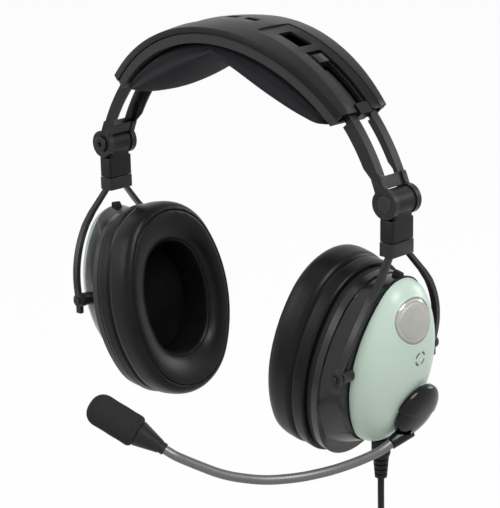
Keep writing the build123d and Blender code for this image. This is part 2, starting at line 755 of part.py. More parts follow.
speaker_holes = [(0, 0)] + [(grille_ring * cos(radians(a)), grille_ring * sin(radians(a)))
                            for a in range(0, 360, 60)]
with BuildPart() as seal_plate:
    with BuildSketch(cup_plane(baffle_back)):
        with Locations(seal_centre):
            add(oval(baffle_width, baffle_height, baffle_end_radius))
            Circle(speaker_radius + speaker_clearance, mode=Mode.SUBTRACT)
    extrude(amount=baffle_thickness)
save_pair(seal_plate, "seal_plate")

plate_face = baffle_back + baffle_thickness
with BuildPart() as speaker:
    for start, end, radius in ((baffle_back + layer_gap, plate_face + layer_gap, speaker_radius),
                               (plate_face + layer_gap, plate_face + speaker_flange, speaker_flange_radius),
                               (plate_face + speaker_flange, plate_face + speaker_depth, speaker_magnet_radius)):
        with BuildSketch(cup_plane(start)):
            with Locations(seal_centre):
                Circle(radius)
        extrude(amount=end - start)
    with BuildSketch(cup_plane(baffle_back + layer_gap)):
        with Locations([(x - seal_lead, y - seal_drop) for x, y in speaker_holes]):
            Circle(grille_hole_radius)
    extrude(amount=baffle_thickness / 2, mode=Mode.SUBTRACT)
save_pair(speaker, "speaker")

# The housing is a rim under the plate and a bowl that narrows to the egg that the dome sits on.
rim_face = plate_face + layer_gap
bowl_face = rim_face + rim_thickness
bowl_back = bowl_outer_face - cup_wall
with BuildPart() as bowl_blank:
    with BuildSketch(cup_plane(bowl_face)):
        with Locations((-seal_lead, -bowl_drop)):
            add(egg(bowl_width, bowl_height, bowl_top_radius, bowl_bottom_radius))
    with BuildSketch(cup_plane(bowl_outer_face)):
        with Locations((0, dome_rise)):
            add(egg(bowl_end_width, bowl_end_height, bowl_end_top_radius, bowl_end_bottom_radius))
    loft()
    with BuildSketch(cup_plane(rim_face)):
        with Locations(seal_centre):
            add(oval(baffle_width, baffle_height, baffle_end_radius))
    extrude(amount=rim_thickness)

with BuildPart() as bowl_hollow:
    with BuildSketch(cup_plane(rim_face)):
        with Locations((-seal_lead, -bowl_drop)):
            add(egg(bowl_width - 2 * cup_wall, bowl_height - 2 * cup_wall,
                    bowl_top_radius - cup_wall, bowl_bottom_radius - cup_wall))
    with BuildSketch(cup_plane(bowl_back)):
        with Locations((0, dome_rise)):
            add(egg(bowl_end_width - 2 * cup_wall, bowl_end_height - 2 * cup_wall,
                    bowl_end_top_radius - cup_wall, bowl_end_bottom_radius - cup_wall))
    loft()

boss_face = strap_half_span - strap_thickness - boss_clearance
with BuildPart() as cup_housing:
    add(bowl_blank.part)
    for side in (-1, 1):
        with BuildSketch(Plane.XZ.offset(-side * boss_face)):
            with Locations((pivot_x, pivot_z)):
                Circle(boss_radius)
        extrude(amount=side * (boss_face - dome_width / 2 - dome_gap))
    add(bowl_hollow.part, mode=Mode.SUBTRACT)
    with BuildSketch(Plane.XZ):
        with Locations((pivot_x, pivot_z)):
            Circle(pivot_screw_radius)
    extrude(amount=boss_face + 1, both=True, mode=Mode.SUBTRACT)
save_pair(cup_housing, "cup_housing")

with BuildPart() as crossover_boot:
    with BuildSketch(cup_plane(boot_start)):
        with Locations((0, boot_foot + boot_height / 2)):
            Trapezoid(boot_width, boot_height, 74)
    extrude(amount=bowl_outer_face - boot_start)
    add(bowl_blank.part, mode=Mode.SUBTRACT)
save_pair(crossover_boot, "crossover_boot")


def dome_body(wall):
    """The dome less a wall: eggs that shrink by s = sqrt(1 - k^2.2) over its depth, k from 0 to 1."""
    with BuildPart() as body:
        for k in dome_steps:
            share = sqrt(1 - k**2.2)
            with BuildSketch(cup_plane(bowl_outer_face + dome_gap + k * (dome_depth - wall))):
                with Locations((0, dome_rise)):
                    add(egg((dome_width - 2 * wall) * share, (dome_height - 2 * wall) * share,
                            (dome_top_radius - wall) * share, (dome_bottom_radius - wall) * share))
        loft()
    return body.part


dome_blank = dome_body(0)
dome_hollow = dome_body(dome_wall)
outward = Vector(cos(cup_turn), 0, -sin(cup_turn))
with BuildPart() as dome_right:
    add(mirror(dome_blank, about=Plane.YZ, mode=Mode.PRIVATE))
    add(mirror(dome_hollow, about=Plane.YZ, mode=Mode.PRIVATE), mode=Mode.SUBTRACT)
save(dome_right, "dome_right")


def dome_reach(back, rise):
    """Distance of the dome's skin from the pivots' plane, from the rule that shapes the dome."""
    share = (2 * back / dome_width) ** 2 + (2 * (rise - dome_rise) / dome_height) ** 2
    return bowl_outer_face + dome_gap + dome_depth * (1 - share) ** (1 / 2.2)


def dome_plane(outwards, back, rise, lean):
    """Plane at a place of the left cup, its normal turned down by lean from the cup's own."""
    turn = radians(cup_tilt + lean)
    spot = cup_plane(outwards).from_local_coords((back, rise, 0))
    return Plane(origin=spot, x_dir=(0, 1, 0), z_dir=(cos(turn), 0, -sin(turn)))


def sunk(depth):
    """The solid dome moved inwards, which leaves a skin of that depth along the cup's axis."""
    return dome_blank.moved(Location(outward * -depth))


badge_plane = dome_plane(dome_reach(-badge_lead, badge_rise), -badge_lead, badge_rise, -badge_lean)
vent_plane = dome_plane(dome_reach(vent_back, vent_rise), vent_back, vent_rise, 0)
hub_plane = dome_plane(dome_reach(hub_back, -hub_drop) + hub_seat_height, hub_back, -hub_drop, hub_lean)

# The badge is a bare plate under a clear lens, and both follow the curve of the dome.
with BuildPart() as badge:
    with BuildSketch(badge_plane):
        Circle(badge_radius)
    extrude(amount=badge_radius, both=True)
    add(sunk(badge_lens_depth), mode=Mode.INTERSECT)
    add(sunk(badge_depth), mode=Mode.SUBTRACT)
save(badge, "badge")

with BuildPart() as badge_lens:
    with BuildSketch(badge_plane):
        Circle(badge_radius)
    extrude(amount=badge_radius, both=True)
    add(sunk(-badge_lens_rise), mode=Mode.INTERSECT)
    add(sunk(badge_lens_depth), mode=Mode.SUBTRACT)
save(badge_lens, "badge_lens")

with BuildPart() as vent:
    with BuildSketch(vent_plane):
        Circle(vent_radius)
        with PolarLocations(0, 4):
            with BuildLine(mode=Mode.PRIVATE) as slit:
                CenterArc((0, 0), vent_slit_radius, 15, 60)
            offset(slit.line, amount=vent_slit_width / 2, mode=Mode.SUBTRACT)
    extrude(amount=vent_depth * 3, both=True)
    add(sunk(0), mode=Mode.INTERSECT)
    add(sunk(vent_depth), mode=Mode.SUBTRACT)
save(vent, "vent")

with BuildPart() as hub_seat:
    with BuildSketch(hub_plane):
        Circle(hub_seat_radius)
        Circle(hub_shaft_radius + pin_clearance, mode=Mode.SUBTRACT)
    extrude(amount=-dome_depth / 2)
    add(dome_blank, mode=Mode.SUBTRACT)
save(hub_seat, "hub_seat")

relief_top = pivot_z - relief_top_drop
relief_tip = pivot_z - relief_tip_drop
with BuildPart() as badge_pocket:
    with BuildSketch(badge_plane):
        Circle(badge_radius + badge_clearance)
    extrude(amount=badge_radius, both=True)
    add(sunk(badge_depth), mode=Mode.SUBTRACT)

with BuildPart() as vent_pocket:
    with BuildSketch(vent_plane):
        Circle(vent_radius + badge_clearance)
    extrude(amount=vent_depth * 3, both=True)
    add(sunk(vent_depth), mode=Mode.SUBTRACT)

with BuildPart() as dome_left:
    add(dome_blank)
    add(badge_pocket.part, mode=Mode.SUBTRACT)
    add(vent_pocket.part, mode=Mode.SUBTRACT)
    add(dome_hollow, mode=Mode.SUBTRACT)
    with BuildSketch(hub_plane):
        Circle(hub_shaft_radius + pin_clearance)
    extrude(amount=-dome_depth, mode=Mode.SUBTRACT)
    with BuildSketch(Plane.XY.offset(relief_tip)):
        with Locations((relief_x, relief_y)):
            Circle(relief_root_radius + relief_clearance)
    extrude(amount=relief_top - relief_tip + relief_clearance, mode=Mode.SUBTRACT)
save(dome_left, "dome_left")

# ---------------------------------------------------------------- microphone boom
hub_axis = Axis(hub_plane.origin, hub_plane.z_dir)
ferrule_root = hub_plane.origin + Vector(*ferrule_root_from_hub)
boom_points = [hub_plane.origin + Vector(*p) for p in boom_route]
ferrule_run = boom_points[1] - ferrule_root
boom_points[0] = ferrule_root + ferrule_run.normalized() * ferrule_length

with BuildPart() as boom_hub:
    with BuildSketch(hub_plane.offset(hub_gap)):
        Circle(hub_radius)
    extrude(amount=hub_thickness)
    fillet(boom_hub.faces().sort_by(hub_axis)[-1].edges(), hub_thickness - hub_rim)
    with BuildSketch(hub_plane.offset(hub_gap)):
        Circle(hub_shaft_radius)
    extrude(amount=-hub_shaft_length)
save(boom_hub, "boom_hub")

with BuildPart() as boom_ferrule:
    with BuildSketch(Plane(origin=ferrule_root, z_dir=ferrule_run)):
        Circle(ferrule_root_radius)
    with BuildSketch(Plane(origin=boom_points[0], z_dir=ferrule_run)):
        Circle(ferrule_tip_radius)
    loft()
    split(bisect_by=hub_plane.offset(hub_gap), keep=Keep.TOP)
    add(boom_hub.part, mode=Mode.SUBTRACT)
save(boom_ferrule, "boom_ferrule")


def corner_radii(points, name):
    """Arc radius at each corner: 0.45 of the shorter run over the tangent of half the turn."""
    radii = []
    for a, b, c in zip(points, points[1:], points[2:]):
        before, after = Vector(*b) - Vector(*a), Vector(*c) - Vector(*b)
        half_turn = radians(before.get_angle(after)) / 2
        radii.append(0.45 * min(before.length, after.length) / tan(half_turn))
    print(name, "radii", [round(r, 1) for r in radii])
    return radii


def tube(points, radius, name):
    """Straight runs joined by tangent arcs, swept with a circle."""
    with BuildPart() as piece:
        with BuildLine() as path:
            FilletPolyline(*points, radius=corner_radii(points, name))
        with BuildSketch(Plane(origin=path.line @ 0, z_dir=path.line % 0)):
            Circle(radius)
        sweep()
    length = sum(edge.length for edge in path.edges())
    share = piece.part.volume / (length * pi * radius**2)
    print(name, "length", round(length, 1), "volume over section times length", round(share, 4))
    return piece


boom_arm = tube(boom_points, boom_radius, "boom_arm")
save(boom_arm, "boom_arm")

# The microphone lies on the line of the boom's last run.
mic_run = boom_points[-1] - boom_points[-2]
mic_plane = Plane(origin=boom_points[-1], z_dir=mic_run)
clamp_end = clamp_sleeve_length + clamp_length
with BuildPart() as mic_clamp:
    with BuildSketch(mic_plane):
        Circle(clamp_neck_radius)
    extrude(amount=clamp_sleeve_length)
    with BuildSketch(mic_plane.offset(clamp_sleeve_length)):
        Circle(clamp_neck_radius + muff_clearance)
    with BuildSketch(mic_plane.offset(clamp_end)):
        Circle(clamp_radius)
    loft()
    with BuildSketch(mic_plane.offset(clamp_end)):
        Circle(clamp_neck_radius)
    extrude(amount=clamp_neck_length)
save(mic_clamp, "mic_clamp")

capsule_start = clamp_end + clamp_neck_length
with BuildPart() as mic_capsule:
    with BuildSketch(mic_plane.offset(capsule_start)):
        Circle(capsule_radius)
    extrude(amount=capsule_length)
save(mic_capsule, "mic_capsule")

muff_start = clamp_end + muff_clearance
with BuildPart() as mic_muff:
    with BuildSketch(mic_plane.offset(muff_start)):
        Circle(muff_radius)
    extrude(amount=muff_length)
    ends = mic_muff.faces().filter_by(GeomType.PLANE).sort_by(Axis(mic_plane.origin, mic_plane.z_dir))
    fillet(ends[-1].edges(), muff_radius * 0.8)
    fillet(ends[0].edges(), muff_radius * 0.3)
    with BuildSketch(mic_plane.offset(capsule_start - muff_clearance)):
        Circle(capsule_radius + muff_clearance)
    extrude(amount=capsule_length + 2 * muff_clearance, mode=Mode.SUBTRACT)
    with BuildSketch(mic_plane.offset(clamp_end)):
        Circle(clamp_neck_radius + muff_clearance)
    extrude(amount=clamp_neck_length, mode=Mode.SUBTRACT)
save(mic_muff, "mic_muff")

# ---------------------------------------------------------------- cord and plug
relief_axis = Axis((relief_x, relief_y, 0), (0, 0, 1))
relief_neck = relief_tip + relief_ring_pitch * relief_rings
with BuildPart() as cable_gland:
    with BuildSketch(Plane.XZ.offset(-relief_y)):
        with BuildLine():
            Polyline((relief_x, relief_tip), (relief_x + relief_tip_radius, relief_tip),
                     (relief_x + relief_neck_radius, relief_neck),
                     (relief_x + relief_root_radius, relief_neck + relief_ring_pitch),
                     (relief_x + relief_root_radius, relief_top), (relief_x, relief_top), close=True)
        make_face()
    revolve(axis=relief_axis)
    for ring in range(1, relief_rings + 1):
        with BuildSketch(Plane.XY.offset(relief_tip + ring * relief_ring_pitch - relief_groove)):
            with Locations((relief_x, relief_y)):
                Circle(relief_root_radius + 1)
                Circle(relief_tip_radius - relief_groove / 2, mode=Mode.SUBTRACT)
        extrude(amount=relief_groove, mode=Mode.SUBTRACT)
save(cable_gland, "cable_gland")

relief_end = Vector(relief_x, relief_y, relief_tip)
cord_points = [relief_end + Vector(*p) for p in cord_route]
cord_main = tube(cord_points, cord_radius, "cord_main")
save(cord_main, "cord_main")

coil_inner = coil_turn_radius - coil_rows * cord_radius
coil_outer = coil_turn_radius + coil_rows * cord_radius
coil_width = coil_columns * 2 * cord_radius
coil_x, entry_y, coil_top = tuple(cord_points[-1])
coil_middle_x = coil_x - cord_radius + coil_width / 2
coil_exit_x = coil_x - 2 * cord_radius + coil_width
coil_y = entry_y - coil_outer + cord_radius
coil_z = coil_top - coil_stub
coil_axis = Axis((coil_middle_x, coil_y, coil_z), (1, 0, 0))


def coil_plane(angle):
    """Plane through the coil's axis, turned from straight up towards the back."""
    turn = radians(angle)
    return Plane(origin=(coil_middle_x, coil_y, coil_z), x_dir=(1, 0, 0), z_dir=(0, -cos(turn), sin(turn)))


with BuildPart() as cord_coil:
    with BuildSketch(coil_plane(0)):
        with Locations((0, coil_turn_radius)):
            RectangleRounded(coil_width + 2 * coil_slack, coil_outer - coil_inner + 2 * coil_slack,
                             cord_radius * 0.9)
    revolve(axis=coil_axis)
    with BuildSketch(Plane.XY.offset(coil_z)):
        with Locations((coil_x, entry_y)):
            Circle(cord_radius)
    extrude(amount=coil_stub)
    with BuildSketch(Plane.XY.offset(coil_z)):
        with Locations((coil_exit_x, entry_y)):
            Circle(cord_radius)
    extrude(amount=-coil_stub)
save(cord_coil, "cord_coil")

with BuildPart() as coil_tie:
    with BuildSketch(coil_plane(tie_sweep / 2)):
        with Locations((0, coil_turn_radius)):
            Rectangle(coil_width + 2 * (tie_wall + tie_clearance),
                      coil_outer - coil_inner + 2 * (tie_wall + tie_clearance))
            Rectangle(coil_width + 2 * tie_clearance, coil_outer - coil_inner + 2 * tie_clearance,
                      mode=Mode.SUBTRACT)
    revolve(axis=coil_axis, revolution_arc=tie_sweep)
save(coil_tie, "coil_tie")

tail_top = coil_z - coil_stub
plug_top = tail_top - tail_length
body_top = plug_top - plug_boot_length
pin_top = body_top - plug_body_length
plug_section = Plane.XZ.offset(-entry_y)
plug_axis = Axis((coil_exit_x, entry_y, 0), (0, 0, 1))
with BuildPart() as cord_tail:
    with BuildSketch(Plane.XY.offset(plug_top)):
        with Locations((coil_exit_x, entry_y)):
            Circle(cord_radius)
    extrude(amount=tail_length)
save(cord_tail, "cord_tail")

with BuildPart() as plug_boot:
    with BuildSketch(Plane.XY.offset(plug_top)):
        with Locations((coil_exit_x, entry_y)):
            Circle(cord_radius * 1.7)
    with BuildSketch(Plane.XY.offset(body_top)):
        with Locations((coil_exit_x, entry_y)):
            Circle(plug_body_radius * 0.85)
    loft()
save(plug_boot, "plug_boot")

with BuildPart() as plug_body:
    with BuildSketch(Plane.XY.offset(pin_top)):
        with Locations((coil_exit_x, entry_y)):
            Circle(plug_body_radius)
    extrude(amount=plug_body_length)
    chamfer(plug_body.faces().sort_by(Axis.Z)[-1].edges(), plug_body_radius * 0.12)
    chamfer(plug_body.faces().sort_by(Axis.Z)[0].edges(), plug_body_radius * 0.08)
save(plug_body, "plug_body")

# The pin has three insulating rings, a waist behind the tip and a blunt point.
with BuildPart() as plug_pin:
    with BuildSketch(plug_section):
        with BuildLine():
            Polyline((coil_exit_x, pin_top), (coil_exit_x + plug_pin_radius, pin_top),
                     (coil_exit_x + plug_pin_radius, pin_top - plug_pin_length + pin_tip_length),
                     (coil_exit_x + pin_waist_radius, pin_top - plug_pin_length + pin_tip_length * 0.8),
                     (coil_exit_x + plug_pin_radius * 0.95, pin_top - plug_pin_length + pin_tip_length * 0.55),
                     (coil_exit_x + pin_waist_radius * 0.6, pin_top - plug_pin_length),
                     (coil_exit_x, pin_top - plug_pin_length), close=True)
        make_face()
    revolve(axis=plug_axis)
save(plug_pin, "plug_pin")
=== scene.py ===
import bpy
import bmesh
import json
import math
import numpy as np
from mathutils import Matrix, Vector

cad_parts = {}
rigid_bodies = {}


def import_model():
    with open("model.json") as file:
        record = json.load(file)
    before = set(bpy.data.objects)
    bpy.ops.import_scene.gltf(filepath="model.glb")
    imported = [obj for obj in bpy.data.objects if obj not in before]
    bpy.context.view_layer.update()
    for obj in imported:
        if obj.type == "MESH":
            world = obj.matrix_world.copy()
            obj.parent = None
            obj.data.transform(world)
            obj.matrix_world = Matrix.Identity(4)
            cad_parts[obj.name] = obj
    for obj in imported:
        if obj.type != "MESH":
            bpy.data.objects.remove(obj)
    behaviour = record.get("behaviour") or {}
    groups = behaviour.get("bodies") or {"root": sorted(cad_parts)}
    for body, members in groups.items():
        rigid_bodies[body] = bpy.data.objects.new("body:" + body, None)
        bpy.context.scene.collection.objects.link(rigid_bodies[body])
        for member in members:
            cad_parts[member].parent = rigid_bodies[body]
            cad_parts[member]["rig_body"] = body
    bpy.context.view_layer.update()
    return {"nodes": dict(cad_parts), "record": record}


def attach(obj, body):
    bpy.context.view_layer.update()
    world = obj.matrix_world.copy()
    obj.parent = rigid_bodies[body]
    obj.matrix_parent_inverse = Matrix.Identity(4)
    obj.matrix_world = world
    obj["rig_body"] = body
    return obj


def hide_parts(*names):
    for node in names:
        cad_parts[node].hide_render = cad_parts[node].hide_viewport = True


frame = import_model()
scene = bpy.context.scene
mm = 0.001
cupNames = {1: "left", -1: "right"}


def ramp(x, start, width):
    # 0 up to start, then straight up to 1 over the width
    return np.clip((x - start) / width, 0, 1)


def hump(x, at, width):
    # a bell of height 1: e^-((x - at) / width)^2
    return np.exp(-((x - at) / width) ** 2)


def sightLine(azimuth, elevation):
    # unit vector from the object towards a viewer at these angles in degrees
    a, e = math.radians(azimuth), math.radians(elevation)
    return math.sin(a) * math.cos(e), -math.cos(a) * math.cos(e), math.sin(e)


# camera: the line of sight, where it aims, how far back it stands
viewpoint = {"azimuth": 44.21, "elevation": 16.594, "roll": -1.127, "distance": 935.8,
             "aimRight": 0.72, "aimUp": 34.49, "aimBase": (0.0, 0.0, -142.5),
             "focal": 126.70, "sensor": 36.0, "nearest": 0.05, "furthest": 20.0}


def makeCamera(v):
    # back = away from the object, right and up are turned by the roll
    a, r = math.radians(v["azimuth"]), math.radians(v["roll"])
    back = np.array(sightLine(v["azimuth"], v["elevation"]))
    right = np.array([math.cos(a), math.sin(a), 0.0])
    up = np.cross(back, right)
    rightTurned = right * math.cos(r) + up * math.sin(r)
    upTurned = up * math.cos(r) - right * math.sin(r)
    aim = np.array(v["aimBase"]) + rightTurned * v["aimRight"] + upTurned * v["aimUp"]
    data = bpy.data.cameras.new("viewCamera")
    data.lens = v["focal"]
    data.sensor_width = v["sensor"]
    data.sensor_fit = "AUTO"
    data.clip_start = v["nearest"]
    data.clip_end = v["furthest"]
    camera = bpy.data.objects.new("viewCamera", data)
    scene.collection.objects.link(camera)
    turn = Matrix([[rightTurned[i], upTurned[i], back[i]] for i in range(3)]).to_4x4()
    turn.translation = (aim + back * v["distance"]) * mm
    camera.matrix_world = turn
    scene.camera = camera


makeCamera(viewpoint)
print("camera placed")

# cord: straight out of the strain relief, down under the left cup, then a tied coil and the plug
cordRun = {"radius": 1.7, "length": 1.55, "pointsPerTurn": 16, "columns": 6, "slip": 0.2,
           "route": [(89.5, 0.8, -205.5), (89.5, 0.8, -215.0), (85.0, 6.4, -229.5),
                     (79.6, 12.4, -243.0), (77.2, 14.6, -258.0), (77.0, 14.7, -276.0)],
           "entry": -294.5, "coilCentre": (77.0, -6.0, -306.5), "rows": (20.7, 17.3),
           "tail": (-318.5, -326.5)}


def coilPoints(c):
    # turns about an X axis: y = cy + R cos t, z = cz - R sin t; each turn keeps one column and one
    # row, and slips to the next over its last fifth; a quadratic curve runs inside its points by the
    # factor (cos(pi / n) + 3/4 + cos(2 pi / n) / 4) / 2, so R is that much larger
    n = c["pointsPerTurn"]
    turns = c["columns"] * 2
    spare = 1 / (0.5 * (math.cos(math.pi / n) + 0.75 + 0.25 * math.cos(2 * math.pi / n)))
    turn = np.arange(turns * n + 1) / n
    whole = np.minimum(np.floor(turn), turns - 1)
    after = np.minimum(whole + 1, turns - 1)
    slip = ramp(turn - whole, 1 - c["slip"], c["slip"])
    column = lambda k: np.floor(k / 2)
    row = lambda k: np.isin(k % 4, (1, 2)) * 1.0
    x = column(whole) * (1 - slip) + column(after) * slip
    r = row(whole) * (1 - slip) + row(after) * slip
    radius = (c["rows"][0] * (1 - r) + c["rows"][1] * r) * spare
    angle = 2 * np.pi * turn
    cx, cy, cz = c["coilCentre"]
    return np.stack([cx + x * 2 * c["radius"], cy + radius * np.cos(angle),
                     cz - radius * np.sin(angle)], 1)


def makeCord(c):
    coil = coilPoints(c)
    entry = (coil[0][0], coil[0][1], c["entry"])
    tail = [(coil[-1][0], coil[-1][1], z) for z in c["tail"]]
    points = np.vstack([c["route"], [entry], coil[1:], tail]) * mm
    curve = bpy.data.curves.new("headsetCord", "CURVE")
    curve.dimensions = "3D"
    spline = curve.splines.new("NURBS")
    spline.points.add(len(points) - 1)
    spline.points.foreach_set("co", np.hstack([points, np.ones((len(points), 1))]).ravel())
    spline.order_u = 3
    spline.use_endpoint_u = True
    spline.resolution_u = 6
    # the bevel is one metre times each point's radius, so that the curve's box grows by the
    # cord's radius alone
    spline.points.foreach_set("radius", np.full(len(points), c["radius"] * mm))
    curve.bevel_depth = 1.0
    curve.bevel_resolution = 5
    curve.use_fill_caps = True
    cord = bpy.data.objects.new("headsetCord", curve)
    scene.collection.objects.link(cord)
    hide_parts("cord_main", "cord_coil", "cord_tail")
    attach(cord, "left_cup")
    return cord


headsetCord = makeCord(cordRun)
print("cord laid")


def newMaterial(name):
    material = bpy.data.materials.new(name)
    material.use_nodes = True
    nodes, links = material.node_tree.nodes, material.node_tree.links
    return material, nodes, links, nodes["Principled BSDF"]


def feed(links, socket, value):
    # a socket takes another node's output or a plain value
    if isinstance(value, bpy.types.NodeSocket):
        links.new(value, socket)
    else:
        socket.default_value = value


def mathNode(nodes, links, operation, first, second):
    node = nodes.new("ShaderNodeMath")
    node.operation = operation
    feed(links, node.inputs[0], first)
    feed(links, node.inputs[1], second)
    return node.outputs[0]


def rangeNode(nodes, links, value, low, high, fromLow=0.0, fromHigh=1.0):
    # fromLow..fromHigh to low..high, clamped
    node = nodes.new("ShaderNodeMapRange")
    feed(links, node.inputs["From Min"], fromLow)
    feed(links, node.inputs["From Max"], fromHigh)
    feed(links, node.inputs["To Min"], low)
    feed(links, node.inputs["To Max"], high)
    feed(links, node.inputs["Value"], value)
    return node.outputs["Result"]


def blendNode(nodes, links, share, first, second):
    # two colours mixed; an RGBA mix node has its colours at inputs 6 and 7 and its result at output 2
    node = nodes.new("ShaderNodeMix")
    node.data_type = "RGBA"
    feed(links, node.inputs[0], share)
    feed(links, node.inputs[6], first)
    feed(links, node.inputs[7], second)
    return node.outputs[2]


def noiseNode(nodes, links, place, scale, detail):
    node = nodes.new("ShaderNodeTexNoise")
    feed(links, node.inputs["Scale"], scale)
    feed(links, node.inputs["Detail"], detail)
    feed(links, node.inputs["Vector"], place)
    return node.outputs["Fac"]


surface = {"slowDetail": 4.0, "fineDetail": 3.0, "lightLift": 0.004, "sheenRough": 0.45,
           "edgeFrom": 0.52, "edgeTo": 0.62, "wornGain": 2.4, "wornLift": 0.03, "smoothest": 0.02,
           "cellEdge": 0.25, "threadWander": 1.2, "threadDetail": 2.0, "bumpStrength": 0.6}


def fineHeight(nodes, links, place, scale):
    return noiseNode(nodes, links, place, scale, surface["fineDetail"])


def cellHeight(nodes, links, place, scale):
    # leather: flat cells with grooves between them
    cells = nodes.new("ShaderNodeTexVoronoi")
    cells.feature = "DISTANCE_TO_EDGE"
    feed(links, cells.inputs["Scale"], scale)
    feed(links, cells.inputs["Vector"], place)
    return rangeNode(nodes, links, cells.outputs["Distance"], 0.0, 1.0, 0.0, surface["cellEdge"])


def weaveHeight(nodes, links, place, scale):
    # three crossing sets of threads, added up
    threads = []
    for direction in ("X", "Y", "Z"):
        wave = nodes.new("ShaderNodeTexWave")
        wave.bands_direction = direction
        feed(links, wave.inputs["Scale"], scale)
        feed(links, wave.inputs["Distortion"], surface["threadWander"])
        feed(links, wave.inputs["Detail Scale"], surface["threadDetail"])
        feed(links, wave.inputs["Vector"], place)
        threads.append(wave.outputs["Fac"])
    both = mathNode(nodes, links, "ADD", threads[0], threads[1])
    return mathNode(nodes, links, "ADD", both, threads[2])


def newFinish(name, colour, rough, metal=0.0, mottle=0.06, mottleScale=60.0, grain=0.0,
              grainScale=900.0, roughSpread=0.06, sheen=0.0, pebble=0.0, pebbleScale=700.0,
              weave=0.0, weaveScale=900.0, wear=0.0, specular=0.5, s=surface):
    # colour and roughness vary with slow noise; fine noise, leather cells or a weave drive the bump
    material, nodes, links, shader = newMaterial(name)
    feed(links, shader.inputs["Metallic"], metal)
    feed(links, shader.inputs["Specular IOR Level"], specular)
    feed(links, shader.inputs["Sheen Weight"], sheen)
    feed(links, shader.inputs["Sheen Roughness"], s["sheenRough"])
    place = nodes.new("ShaderNodeTexCoord").outputs["Object"]
    slow = noiseNode(nodes, links, place, mottleScale, s["slowDetail"])
    dark = [c * (1 - mottle) for c in colour]
    light = [min(1, c * (1 + mottle) + s["lightLift"]) for c in colour]
    tint = blendNode(nodes, links, slow, (*dark, 1), (*light, 1))
    if wear:
        # rubbed edges are lighter
        pointed = nodes.new("ShaderNodeNewGeometry").outputs["Pointiness"]
        edge = rangeNode(nodes, links, pointed, 0.0, wear, s["edgeFrom"], s["edgeTo"])
        worn = [min(1, c * s["wornGain"] + s["wornLift"]) for c in colour]
        tint = blendNode(nodes, links, edge, tint, (*worn, 1))
    feed(links, shader.inputs["Base Color"], tint)
    low, high = max(s["smoothest"], rough - roughSpread), min(1.0, rough + roughSpread)
    feed(links, shader.inputs["Roughness"], rangeNode(nodes, links, slow, low, high))
    normal = None
    for depth, height, scale in ((grain, fineHeight, grainScale), (pebble, cellHeight, pebbleScale),
                                 (weave, weaveHeight, weaveScale)):
        if not depth:
            continue
        bump = nodes.new("ShaderNodeBump")
        feed(links, bump.inputs["Strength"], s["bumpStrength"])
        feed(links, bump.inputs["Distance"], depth * mm)
        feed(links, bump.inputs["Height"], height(nodes, links, place, scale))
        if normal:
            feed(links, bump.inputs["Normal"], normal)
        normal = bump.outputs["Normal"]
    if normal:
        feed(links, shader.inputs["Normal"], normal)
    return material


def lensFinish(name, index, hazeScale, hazeDetail, smoothest, roughest):
    # clear plastic with a little haze
    material, nodes, links, shader = newMaterial(name)
    feed(links, shader.inputs["Transmission Weight"], 1.0)
    feed(links, shader.inputs["IOR"], index)
    place = nodes.new("ShaderNodeTexCoord").outputs["Object"]
    haze = noiseNode(nodes, links, place, hazeScale, hazeDetail)
    feed(links, shader.inputs["Roughness"], rangeNode(nodes, links, haze, smoothest, roughest))
    return material


